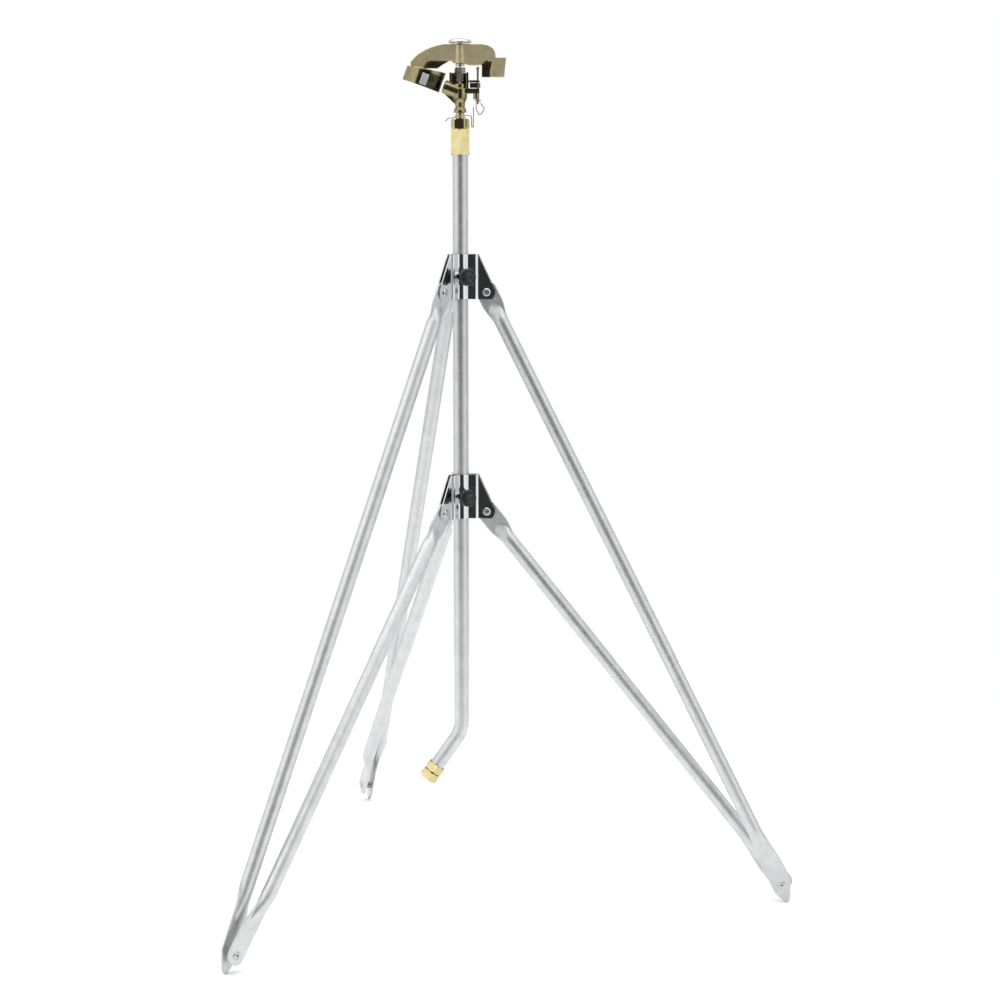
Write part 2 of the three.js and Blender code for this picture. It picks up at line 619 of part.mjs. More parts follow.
// ---------------------------------------------------------------- bearing under the head
function addBearing() {
  const bore = STEM_R + GAP;
  const tailLow = 1066; // the nipple's tail reaches down inside the coupling
  const tail = ring(bore, PIPE_RADIUS, tailLow, COUPLING_TOP + 1, FINE);
  const hex = cut(
    hexagon(NIPPLE_FLATS, COUPLING_TOP + GAP, NIPPLE_TOP, 1).rotateZ(15 * deg),
    rod(bore, tailLow, NECK_TOP, FINE));
  const neck = ring(bore, NECK_R, COUPLING_TOP + 1, NECK_TOP, FINE);
  add(group, "bearing_nipple", "brass", join(tail, hex, neck));

  const head = frameAt(group, "head");
  const flangeR = 7; // at the stem's foot, which holds the head down on the nipple
  const flangeLow = 1062;
  const flangeTop = 1063.6;
  add(head, "stem_tube", "steel", turned([
    [STEM_BORE, flangeLow], [flangeR, flangeLow], [flangeR, flangeTop], [STEM_R, flangeTop],
    [STEM_R, STEM_TOP], [STEM_BORE, STEM_TOP], [STEM_BORE, flangeLow],
  ], ROUND));
  add(head, "bearing_washer", "rubber", ring(bore, flangeR, flangeTop + CLOSE_GAP, tailLow - CLOSE_GAP, ROUND));

  const capLow = NECK_TOP + 1;
  const capRoof = 1100.2;
  const capTop = 1101.4;
  add(head, "pressure_spring", "springSteel", wire(
    helix(STEM_R + 1.1, NECK_TOP + 0.9, capRoof - 0.8, 2.4, 0), 0.6, 22, 6));
  add(head, "spring_cap", "bronzeCast", turned([
    [6.4, capLow], [8.9, capLow], [8.9, capLow + 2.6], [7, capTop], [bore, capTop], [bore, capRoof],
    [6.4, capRoof], [6.4, capLow],
  ], FINE));

  // Two wire collars clip round the nipple's neck: each is an open ring with a tail that stops the trip spring.
  const ringR = NECK_R + COLLAR_WIRE_R + 0.7;
  const leftZ = 1087.6;
  const rightZ = 1090.2;
  const leftRing = helix(ringR, leftZ, leftZ, 0.86, -155 * deg, 9);
  add(group, "friction_collar_left", "steel", wire(
    [[-20, -7.4, leftZ - 4.6], [-15, -6.2, leftZ - 1], ...leftRing], COLLAR_WIRE_R, 26, 6));
  const rightRing = helix(ringR, rightZ, rightZ, 0.8, 30 * deg, 9);
  const tailY = -4.6;
  add(group, "friction_collar_right", "steel", wire([
    ...rightRing, [11, tailY, rightZ], [15.4, tailY, 1088], [15.8, tailY, 1077], [17, tailY, 1074.4],
    [18.2, tailY, 1077], [18.4, tailY, 1088], [18.2, tailY, 1101],
  ], COLLAR_WIRE_R, 36, 6));
}

// ---------------------------------------------------------------- sprinkler body
const BARREL_R = 9.3;
const BARREL_LENGTH = 23.5;
const NOZZLE_SEAT = 14; // along the barrel, where its bore opens out for the nozzle
const NOZZLE_R = 6.3;
const WATERWAY_R = 3;
const DECK_LOW = 1119.5; // the body's deck, which carries the posts and the trip gear
const DECK_HIGH = 1126.4;
const POST_TOP = 1148;
const WALL_NEAR = 8.8; // the thin wall behind the arm spring
const WALL_FAR = 11;

// Turns a shape drawn along +Z so that it lies along the barrel's axis.
function alongBarrel(geometry) {
  return geometry.rotateY(-(90 * deg - JET_RISE)).translate(0, 0, BARREL_Z);
}

const atTrip = (geometry) => geometry.translate(TRIP_X, TRIP_Y, 0);

function sprinklerBody() {
  const stemBoss = rod(6.9, 1101.9, 1113, FINE);
  const hub = turned([[0, 1108], [7.4, 1108], [9.8, 1114], [9.8, 1127], [0, 1127]], FINE);
  const barrel = alongBarrel(rod(BARREL_R, 0, BARREL_LENGTH, FINE));
  const rib = slab(shapeOf([[-24.2, 1124.4], [-21, 1118.6], [-6, 1104.4], [-2, 1112], [-10, 1124]]), -3.4, 3.4);
  const deck = box(-10, 26.6, -7.5, 7.5, DECK_LOW, DECK_HIGH);
  const pinBoss = rod(4.2, 1112, 1126, 12).translate(TRIP_X - 2, TRIP_Y, 0);
  const upright = box(8.4, 11.6, -7.5, WALL_FAR, DECK_HIGH - 1, POST_TOP);
  const tab = box(8.6, 26.8, -6.5, 3.5, 1134.6, 1137.6);
  const post = box(-14.6, -11.4, -5, WALL_FAR, DECK_LOW + 1.5, POST_TOP);
  const wall = box(-14, 11, WALL_NEAR, WALL_FAR, DECK_LOW + 1.5, POST_TOP);
  const seat = rod(7.8, 1126, 1133, ROUND);
  const pinHole = atTrip(rod(TRIP_HOLE_R, 1100, 1150, 12));
  const shaftHole = rod(SHAFT_R + GAP, 1127, 1149, ROUND);
  const stemHole = rod(STEM_R + GAP, 1100, STEM_TOP + 2, ROUND);
  const way = rod(WATERWAY_R, 1104, BARREL_Z, ROUND);
  const bore = alongBarrel(rod(4.5, -2, NOZZLE_SEAT, ROUND));
  const mouth = alongBarrel(rod(NOZZLE_R + GAP, NOZZLE_SEAT - 1, BARREL_LENGTH + 7, FINE));
  return cut(
    join(stemBoss, hub, barrel, rib, deck, pinBoss, upright, tab, post, wall, seat),
    shaftHole, pinHole, stemHole, way, bore, mouth);
}

function nozzle() {
  const lip = BARREL_LENGTH + CLOSE_GAP;
  const lipR = NOZZLE_R + 0.9;
  const reach = BARREL_LENGTH + 1.1;
  const jetR = 2.6;
  return alongBarrel(turned([
    [3.6, NOZZLE_SEAT + GAP], [NOZZLE_R, NOZZLE_SEAT + GAP], [NOZZLE_R, lip], [lipR, lip], [lipR, reach],
    [jetR, reach], [jetR, reach - 3.6], [3.6, NOZZLE_SEAT + GAP],
  ], FINE));
}

// The arm's side view: a long nose over the spoon, a deep middle round the shaft, and a tail weight.
function armOutline() {
  const shape = new THREE.Shape();
  shape.moveTo(-66.6, ARM_NOSE_LOW);
  shape.lineTo(-67.4, 1161.5);
  shape.quadraticCurveTo(-52, 1181, -22, ARM_TOP);
  shape.lineTo(26, ARM_TOP);
  shape.quadraticCurveTo(47, ARM_TOP, 48.6, 1172);
  shape.lineTo(48.7, 1167.8);
  shape.lineTo(63, 1167.8);
  shape.lineTo(60.4, 1141.8);
  shape.lineTo(41.4, 1141.8);
  shape.quadraticCurveTo(41.6, 1156, 44.6, 1162.4);
  shape.lineTo(36, 1165);
  shape.quadraticCurveTo(31, 1158, 24, 1157.8);
  shape.lineTo(12, 1157.8);
  shape.quadraticCurveTo(-4, 1164, -20, 1163.8);
  shape.lineTo(-36, 1163.8);
  shape.quadraticCurveTo(-45, 1163.4, -46.6, 1160.4);
  shape.lineTo(-50, 1155);
  shape.lineTo(-50, ARM_NOSE_LOW);
  return shape;
}

// The hollow that is open below, between the arm's two cheeks.
function armPocket() {
  const shape = new THREE.Shape();
  shape.moveTo(-46, 1140);
  shape.lineTo(-46, 1158);
  shape.quadraticCurveTo(-40, 1176, -20, 1181);
  shape.lineTo(24, 1181);
  shape.quadraticCurveTo(37, 1180, 38, 1170);
  shape.lineTo(36, 1140);
  return shape;
}

const FACING = { start: 262 * deg, end: 288 * deg, low: -8.4, high: 7.4, depth: 0.8 };

const onSpoonAxis = (geometry) =>
  geometry.rotateY(SPOON_TILT).translate(SPOON_CENTRE.x, SPOON_CENTRE.y, SPOON_CENTRE.z);

function bandShape(inner, outer, start, end) {
  const shape = new THREE.Shape();
  shape.absarc(0, 0, outer, start, end);
  shape.absarc(0, 0, inner, end, start, true);
  return shape;
}

// The spoon, drawn about its own axis: a half-round band under the nose, with a shallow pocket for its facing
// plate, and the roof that closes it above and joins it to the arm.
function spoon() {
  const inner = SPOON_RADIUS - SPOON_WALL;
  const onTop = (geometry) => geometry.rotateY(-SPOON_SLOPE).translate(0, 0, SPOON_RISE);
  const full = prism(bandShape(inner, SPOON_RADIUS, SPOON_START, SPOON_END), -SPOON_DROP, 2 * SPOON_RISE, 12);
  const above = onTop(box(-50, 50, -50, 50, 0, 50));
  const band = cut(full, above);
  const roof = onTop(prism(bandShape(4, SPOON_RADIUS - 1, 168 * deg, 340 * deg), -SPOON_ROOF, -0.4, 10));
  const spare = CLOSE_GAP / SPOON_RADIUS;
  const pocket = prism(
    bandShape(SPOON_RADIUS - FACING.depth - CLOSE_GAP, SPOON_RADIUS + 1, FACING.start - spare, FACING.end + spare),
    FACING.low - CLOSE_GAP, FACING.high + CLOSE_GAP, 4);
  return onSpoonAxis(join(cut(band, pocket), roof));
}

function spoonFacing() {
  const shape = bandShape(SPOON_RADIUS - FACING.depth, SPOON_RADIUS - CLOSE_GAP, FACING.start, FACING.end);
  return onSpoonAxis(prism(shape, FACING.low, FACING.high, 4));
}

const BUSH_R = 4.6;

function driveArm() {
  const solid = slab(armOutline(), -ARM_HALF_WIDTH, ARM_HALF_WIDTH, 8);
  const inside = ARM_HALF_WIDTH - ARM_WALL;
  const hollow = slab(armPocket(), -inside, inside, 6);
  const hub = rod(ARM_HALF_WIDTH - 0.4, 1160, ARM_TOP - 2.8, ROUND);
  const bore = rod(BUSH_R + GAP, 1150, 1190, ROUND);
  // The far cheek reaches lower than the near one, behind the nose and beside the tail weight.
  const noseCheek = slab(
    shapeOf([[-50, 1166], [-50, 1153.6], [-31, 1153.6], [-23, 1159], [-16, 1163], [-16, 1166]]),
    inside, ARM_HALF_WIDTH);
  const tailCheek = box(29.5, 43, inside, ARM_HALF_WIDTH, 1141.8, 1164);
  return cut(join(cut(solid, hollow), hub, spoon(), noseCheek, tailCheek), bore);
}

function armBush() {
  const bore = SHAFT_R + GAP;
  const low = 1158.4;
  const flange = 1159.8;
  const top = ARM_TOP + 0.6;
  return turned([
    [bore, low], [6.4, low], [6.4, flange], [BUSH_R, flange], [BUSH_R, top], [bore, top], [bore, low],
  ], ROUND);
}

// The disc on top: a shallow dome with a recess over the shaft's end.
function shaftCap() {
  const low = 1187.2;
  const recess = SHAFT_TOP + GAP;
  const recessR = SHAFT_R + 0.2;
  const rim = 16.2;
  return turned([
    [0, recess], [recessR, recess], [recessR, low], [rim - 0.6, low], [rim, low + 1.8], [14, low + 4.4],
    [8, low + 6], [0, low + 6.4],
  ], FINE);
}

function tripLever() {
  const low = DECK_HIGH + 0.8;
  const high = low + 6.6;
  const eye = atTrip(rod(3.6, low, high, 12));
  const dog = box(13.4, 24, -8, -1, low, high);
  return cut(join(eye, dog), atTrip(rod(TRIP_HOLE_R, low - 5, high + 5, 12)));
}

function addHead() {
  const head = group.getObjectByName("head");
  add(head, "sprinkler_body", "bronzeCast", sprinklerBody());
  add(head, "nozzle", "brass", nozzle());
  add(head, "arm_shaft", "steel", rod(SHAFT_R, SHAFT_BOTTOM, SHAFT_TOP));
  add(head, "arm_washer", "steel", ring(SHAFT_R + GAP, 6.6, 1156.4, 1157.6, ROUND));
  add(head, "arm_spring", "springSteel", wire(helix(7, 1134.6, 1154.6, 8.4, 0, 9), 0.9, 80, 6));
  add(head, "shaft_cap", "steel", shaftCap());
  add(head, "trip_pin", "springSteel", atTrip(turned([
    [0, 1105.4], [TRIP_PIN_R, 1105.4], [TRIP_PIN_R, 1152], [2.1, 1152], [2.1, 1154.6], [0, 1155.4],
  ], 12)));
  add(head, "trip_pin_nut", "steel", atTrip(cut(hexagon(7, 1108, 1111.6, 0.5), rod(TRIP_HOLE_R, 1100, 1120, SMALL))));
  add(head, "trip_lever", "springSteel", tripLever());
  const outerY = -6.4;
  add(head, "trip_spring", "steel", wire([
    [28.4, outerY, 1106.6], [30.2, outerY, 1103.4], [33, outerY, 1099.8], [30, outerY, 1094],
    [26.6, outerY, 1091], [24, outerY, 1095], [22, outerY, 1100], [22, outerY - 1.2, 1105],
    [22.6, outerY - 3.8, 1110],
  ], 0.8, 30, 6));
  const arm = frameAt(head, "drive_arm_pivot");
  add(arm, "drive_arm", "bronzeCast", driveArm());
  add(arm, "spoon_facing", "steel", spoonFacing());
  add(arm, "arm_bush", "brass", armBush());
}

addHub("upper", UPPER_RIVET_Z);
addHub("lower", LOWER_RIVET_Z);
addLegs();
addRiser();
addBearing();
addHead();

// The origin goes to the bottom centre of the whole object's box.
const extent = new THREE.Box3().setFromObject(group, true);
const middle = extent.getCenter(new THREE.Vector3());
group.position.set(-middle.x, -middle.y, -extent.min.z);

export default group;
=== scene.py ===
"""Looks of the impact sprinkler on its folding tripod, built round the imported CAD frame.

Pieces are drawn in millimetres about the riser's axis, with the ground at z = 0. to_row turns that into the
frame's own metres: the riser's axis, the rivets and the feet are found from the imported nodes.
"""
import math

import bmesh
import bpy
import numpy as np
from mathutils import Matrix, Vector


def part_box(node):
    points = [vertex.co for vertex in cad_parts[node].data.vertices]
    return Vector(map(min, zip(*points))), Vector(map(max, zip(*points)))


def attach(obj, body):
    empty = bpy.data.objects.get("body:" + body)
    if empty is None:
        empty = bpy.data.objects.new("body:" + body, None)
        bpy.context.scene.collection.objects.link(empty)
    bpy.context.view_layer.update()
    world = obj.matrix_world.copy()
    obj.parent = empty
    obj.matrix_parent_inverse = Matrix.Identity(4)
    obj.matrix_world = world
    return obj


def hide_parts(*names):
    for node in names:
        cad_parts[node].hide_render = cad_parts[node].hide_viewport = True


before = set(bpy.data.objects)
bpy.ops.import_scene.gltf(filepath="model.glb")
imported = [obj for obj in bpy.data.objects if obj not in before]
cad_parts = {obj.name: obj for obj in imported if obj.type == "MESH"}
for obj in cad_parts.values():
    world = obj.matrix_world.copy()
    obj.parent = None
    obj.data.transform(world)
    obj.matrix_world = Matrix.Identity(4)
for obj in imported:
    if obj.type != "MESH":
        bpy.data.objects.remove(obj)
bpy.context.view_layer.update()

# ---------------------------------------------------------------- places read from the frame
MM = 0.001


def middle(node):
    low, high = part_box(node)
    return (low + high) / 2


RISER = middle("riser_coupling")
TO_ROW = Matrix.Translation((RISER.x, RISER.y, 0)) @ Matrix.Scale(MM, 4)
FROM_ROW = TO_ROW.inverted()
LEGS = (1, 2, 3)


def place(node):
    """The middle of a CAD node in millimetres about the riser's axis."""
    return FROM_ROW @ middle(node)


def level(node, end):
    """A node's lowest (0) or highest (1) level in millimetres."""
    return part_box(node)[end].z / MM


def azimuth_of(point):
    return math.degrees(math.atan2(point.y, point.x))


# ---------------------------------------------------------------- driving dimensions, millimetres
SIDES = 64
HOLE_SIDES = 32
RIVET_SIDES = 40
WIRE_SIDES = 14
THROUGH = 30
CLEARANCE = 0.3
FIT = 0.1

PIPE_R = 21.3 / 2
PIPE_WALL = 2.6
PIPE_TOP = 1060
BEND_CORNER = 227
BEND_ANGLE = 35
BEND_RADIUS = 46
COUPLING_FLATS = 25.4
INLET_START = 60.4
INLET_LENGTH = 11.6
INLET_FLATS = 24
INLET_BORE_R = 6
INLET_NECK_R = 8.2
INLET_NECK = 3.9
SWIVEL_GAP = 1
SWIVEL_LENGTH = 12.6
HEX_CHAMFER = 0.9

TUBE_R = 10
TUBE_WALL = 1.2
PRESSED = 3
PRESSED_HALF_WIDTH = (math.pi * (2 * TUBE_R - PRESSED) / 2 + PRESSED) / 2
LEG_HUB_FLAT = 16
STRUT_HUB_FLAT = 22
HUB_FORMING = 30
FOOT_FLAT = 24
FOOT_ROUND = 92
FOOT_FLAT_SIDE = 6.5
FOOT_TUBE_SIDE = 12
FOOT_HEIGHT = 25

HUB_RIVET_R = 37
HUB_LOW = -9.5
HUB_HIGH = 52
HUB_TOP_R = 25
HUB_CORNER = 11.5
PLATE = 2
SADDLE_R = PIPE_R + 0.35
WING_SIDE = PRESSED / 2 + 0.4
WING_JOG = 2.6
JOG_START = 20.3
JOG_END = 25.8
RIVET_R = 2.5
RIVET_HEAD_R = 5.6
RIVET_HEAD = 1.6
RIVET_ROUNDING = 0.4
CLAMP_AZIMUTH = 291
CLAMP_RISE = 21.25
BOSS_R = 7
BOSS_OUT = 20
KNOB_R = 12
KNOB_OUT = 39
SCREW_R = 3

NIPPLE_FLATS = 22.2
NIPPLE_TWIST = 24
NIPPLE_LOW = 1066
NIPPLE_HEX_TOP = 1086
NIPPLE_NECK_R = 6
NIPPLE_TOP = 1093
STEM_R = 4.2
STEM_BORE_R = 3
STEM_LOW = 1062
STEM_TOP = 1110
STEM_FLANGE_R = 7
STEM_FLANGE = 1.6
COLLAR_WIRE_R = 0.8

JET_RISE = 21
BARREL_Z = 1121
BARREL_R = 9.3
BARREL_LENGTH = 23.5
SHAFT_R = 2.4
SHAFT_HOLE_R = 2.7
TRIP_HOLE_R = 1.7
ARM_TOP = 1185.8
ARM_LOW = 1141.8
ARM_HALF_WIDTH = 9
ARM_WALL = 3.2
ARM_NOSE_LOW = 1151
SPOON_TILT = 20
SPOON_CENTRE = (-50, 11, 1139.8)
SPOON_R = 27.3
SPOON_WALL = 3
SPOON_DROP = 10.3
SPOON_RISE = 13.3
SPOON_SLOPE = 8.5
SPOON_ROOF = 2.2
SPOON_START = 165
SPOON_END = 345
RIB_PITCH = 2.9
# The azimuth in degrees where the near-black painted deep shade on the spoon band begins.
DEEP_SHADE_START = 252
FACING_START = 264
FACING_END = 284
FACING_LOW = -8.4
FACING_HIGH = 7.4
POST_TOP = 1148
POST_LOW = 1121
WALL_NEAR = 8.8
WALL_FAR = 11
TRIP_X = 24.2
TRIP_Y = -3


# ---------------------------------------------------------------- shapes: (vertices, faces) in millimetres
def turn(axis, degrees):
    return Matrix.Rotation(math.radians(degrees), 4, axis)


def shift(x=0, y=0, z=0):
    return Matrix.Translation((x, y, z))


def moved(shape, matrix):
    vertices, faces = shape
    m = np.array(matrix)
    return vertices @ m[:3, :3].T + m[:3, 3], faces


def together(*shapes):
    vertices = np.vstack([shape[0] for shape in shapes])
    faces = []
    base = 0
    for points, own in shapes:
        faces += [tuple(i + base for i in face) for face in own]
        base += len(points)
    return vertices, faces


def band(a, b):
    """Faces between two rings of vertex numbers; either ring may be a single point."""
    if len(a) == 1 and len(b) == 1:
        return []
    if len(a) == 1:
        return [(a[0], b[i], b[(i + 1) % len(b)]) for i in range(len(b))]
    if len(b) == 1:
        return [(a[i], b[0], a[(i + 1) % len(a)]) for i in range(len(a))]
    return [(a[i], a[(i + 1) % len(a)], b[(i + 1) % len(a)], b[i]) for i in range(len(a))]


def loft(rings, wrap=False):
    """A closed skin over rings of points: capped at both ends, or joined end to start."""
    numbers = []
    count = 0
    for ring in rings:
        numbers.append(list(range(count, count + len(ring))))
        count += len(ring)
    faces = []
    for a, b in zip(numbers, numbers[1:]):
        faces += band(a, b)
    if wrap:
        faces += band(numbers[-1], numbers[0])
    else:
        faces += [tuple(ring) for ring in (numbers[0], numbers[-1]) if len(ring) > 2]
    return np.vstack(rings), faces


def eased(points, radius, steps=4, wrap=False):
    """An outline with its corners rounded, as far as the neighbouring edges allow."""
    points = [np.array(p, float) for p in points]
    made = []
    for i, corner in enumerate(points):
        if not wrap and i in (0, len(points) - 1):
            made.append(corner)
            continue
        before = points[i - 1] - corner
        after = points[(i + 1) % len(points)] - corner
        lengths = np.linalg.norm(before), np.linalg.norm(after)
        if min(lengths) < 1e-6:
            continue
        trim = min(radius, 0.45 * lengths[0], 0.45 * lengths[1])
        start = corner + before / lengths[0] * trim
        end = corner + after / lengths[1] * trim
        for step in range(steps + 1):
            t = step / steps
            made.append((1 - t) ** 2 * start + 2 * t * (1 - t) * corner + t * t * end)
    return made


def lathe(profile, radius=0.3, sides=SIDES, flutes=0, flute_depth=0.0, fluted_from=0.0):
    """A solid turned about Z from (radius, height) pairs, from axis to axis or closed on themselves."""
    wrap = tuple(profile[0]) == tuple(profile[-1])
    outline = eased(profile[:-1] if wrap else profile, radius, wrap=wrap)
    angles = np.arange(sides) * 2 * math.pi / sides
    rings = []
    for r, z in outline:
        if r < 1e-6:
            rings.append(np.array([[0, 0, z]]))
            continue
        reach = np.full(sides, r)
        if r > fluted_from:
            reach = r * (1 - flute_depth * (0.5 + 0.5 * np.cos(flutes * angles)))
        rings.append(np.column_stack([reach * np.cos(angles), reach * np.sin(angles), np.full(sides, z)]))
    return loft(rings, wrap)


def rod(radius, low, high, ease=0.0, sides=SIDES):
    return lathe([(0, low), (radius, low), (radius, high), (0, high)], ease, sides)


def ring(inner, outer, low, high, ease=0.3):
    return lathe([(inner, low), (outer, low), (outer, high), (inner, high), (inner, low)], ease)


def block(x0, x1, y0, y1, z0, z1):
    corners = [(x0, y0), (x1, y0), (x1, y1), (x0, y1)]
    return loft([np.array([(x, y, z) for x, y in corners], float) for z in (z0, z1)])


def extruded(outline, low, high):
    return loft([np.array([(x, y, z) for x, y in outline], float) for z in (low, high)])


def side_slab(outline, half_width):
    """An outline in x and z, extruded along y to both sides."""
    return moved(extruded(outline, -half_width, half_width), turn("X", 90))


def hex_prism(flats, low, high, bore, chamfer=0.6, sides=120, twist=0):
    """A hexagonal nut or coupling with turned chamfers; flats face +X and -X before the twist."""
    angles = np.arange(sides) * 2 * math.pi / sides
    sixth = math.pi / 3
    from_flat = (angles + sixth / 2) % sixth - sixth / 2
    wall = flats / 2 / np.cos(from_flat)
    face_share = 0.985
    face_r = flats / 2 * face_share
    drop = (wall - face_r) * chamfer

    def at(reach, z):
        return np.column_stack([reach * np.cos(angles), reach * np.sin(angles), z + np.zeros(sides)])

    rim = 0.5
    rings = [
        at(bore, low + rim), at(bore + rim, low), at(face_r, low), at(wall, low + drop),
        at(wall, high - drop), at(face_r, high), at(bore + rim, high), at(bore, high - rim),
    ]
    return moved(loft(rings, wrap=True), turn("Z", twist))


def frames_along(points):
    """Two directions across a path at each of its points, carried along it without twist."""
    points = np.array(points, float)
    ways = np.gradient(points, axis=0)
    ways /= np.linalg.norm(ways, axis=1)[:, None]
    first = np.cross(ways[0], (0, 0, 1) if abs(ways[0][2]) < 0.9 else (0, 1, 0))
    across = [first / np.linalg.norm(first)]
    for way in ways[1:]:
        carried = across[-1] - way * np.dot(across[-1], way)
        across.append(carried / np.linalg.norm(carried))
    across = np.array(across)
    return across, np.cross(ways, across)


def smooth_path(points, steps=8):
    """A Catmull-Rom curve through points."""
    points = np.array(points, float)
    padded = np.vstack([2 * points[0] - points[1], points, 2 * points[-1] - points[-2]])
    made = []
    for a, b, c, d in zip(padded, padded[1:], padded[2:], padded[3:]):
        for step in range(steps):
            t = step / steps
            made.append(0.5 * (2 * b + (c - a) * t + (2 * a - 5 * b + 4 * c - d) * t * t
                               + (3 * b - a - 3 * c + d) * t ** 3))
    made.append(points[-1])
    return np.array(made)


def rings_along(points, radius, sides):
    one, other = frames_along(points)
    angles = np.arange(sides) * 2 * math.pi / sides
    return [
        p + radius * (np.outer(np.cos(angles), u) + np.outer(np.sin(angles), v))
        for p, u, v in zip(np.array(points, float), one, other)
    ]


def wire(points, radius, sides=WIRE_SIDES, steps=8):
    """A round wire through points, with softly rounded ends."""
    tip = 0.6
    shoulder = 0.7
    path = smooth_path(points, steps)
    rings = rings_along(path, radius, sides)
    ends = []
    for index, way in ((0, path[0] - path[1]), (-1, path[-1] - path[-2])):
        out = way / np.linalg.norm(way) * radius * tip
        centre = path[index]
        ends.append([centre + (rings[index] - centre + out) * shoulder, np.array([centre + out])])
    return loft([ends[0][1], ends[0][0], *rings, ends[1][0], ends[1][1]])


def helix(radius, low, high, turns, start=0.0, per_turn=24):
    """Points of a helix about Z, or of a flat ring when low and high are the same; start is in degrees."""
    count = round(turns * per_turn)
    made = []
    for i in range(count + 1):
        part = i / count
        angle = math.radians(start) + turns * 2 * math.pi * part
        made.append((radius * math.cos(angle), radius * math.sin(angle), low + (high - low) * part))
    return made


def threads(radius, low, high, pitch, depth):
    """The (radius, height) zigzag of a screw thread."""
    made = []
    count = int((high - low) / pitch)
    for i in range(count):
        z = low + i * pitch
        made += [(radius - depth, z), (radius, z + pitch / 2)]
    made.append((radius - depth, low + count * pitch))
    return made


def bezier(a, b, c, steps=16):
    """Points of a quadratic curve after its start a, so that stretches join on."""
    a, b, c = (np.array(p, float) for p in (a, b, c))
    made = []
    for t in np.linspace(0, 1, steps + 1)[1:]:
        made.append(tuple((1 - t) ** 2 * a + 2 * t * (1 - t) * b + t * t * c))
    return made


# ---------------------------------------------------------------- Blender objects
def object_of(name, shape):
    vertices, faces = shape
    mesh = bpy.data.meshes.new(name)
    mesh.from_pydata([tuple(p) for p in vertices], [], faces)
    mesh.transform(TO_ROW)
    made = bmesh.new()
    made.from_mesh(mesh)
    bmesh.ops.recalc_face_normals(made, faces=made.faces)
    made.to_mesh(mesh)
    made.free()
    obj = bpy.data.objects.new(name, mesh)
    bpy.context.scene.collection.objects.link(obj)
    return obj


def apply_modifiers(obj):
    """Turns an object's modifiers into its mesh."""
    depsgraph = bpy.context.evaluated_depsgraph_get()
    mesh = bpy.data.meshes.new_from_object(obj.evaluated_get(depsgraph))
    old = obj.data
    obj.modifiers.clear()
    obj.data = mesh
    bpy.data.meshes.remove(old)
    return obj


def boolean(obj, shape, operation):
    tool = object_of("tool", shape)
    step = obj.modifiers.new("boolean", "BOOLEAN")
    step.operation = operation
    step.solver = "EXACT"
    step.object = tool
    apply_modifiers(obj)
    spent = tool.data
    bpy.data.objects.remove(tool)
    bpy.data.meshes.remove(spent)
    return obj


def cut(obj, *shapes):
    for shape in shapes:
        boolean(obj, shape, "DIFFERENCE")
    return obj


def melt(obj, voxel, passes):
    """Joins overlapping solids into one skin and rounds its corners, as a casting's are."""
    step = obj.modifiers.new("melt", "REMESH")
    step.mode = "VOXEL"
    step.voxel_size = voxel * MM
    soften = obj.modifiers.new("soften", "SMOOTH")
    soften.factor = 0.5
    soften.iterations = passes
    return apply_modifiers(obj)


def bevelled(obj, width, segments=2, angle=40):
    step = obj.modifiers.new("edges", "BEVEL")
    step.width = width * MM
    step.segments = segments
    step.limit_method = "ANGLE"
    step.angle_limit = math.radians(angle)
    return apply_modifiers(obj)


def finished(obj, node, body, finish, sharp=32, look=None):
    """Names, shades and paints a piece, and hands it to its body in place of its CAD node."""
    obj.name = f"{node}_detail"
    obj.data.name = obj.name
    obj.data.shade_smooth()
    obj.data.set_sharp_from_angle(angle=math.radians(sharp))
    obj.data.materials.clear()
    obj.data.materials.append(MATERIALS[look or finish])
    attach(obj, body)
    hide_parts(node)
    return obj


def add(node, body, finish, shape, sharp=32):
    return finished(object_of(node, shape), node, body, finish, sharp)


# ---------------------------------------------------------------- materials
NOISE_LOW = 0.3
NOISE_HIGH = 0.7
FINE_PER_GRAIN = 5
SPANGLES_PER_METRE = 260
RELIEF_DEPTH = 0.0004
EDGE_START = 0.52
EDGE_END = 0.62
WORN_GAIN = 1.9


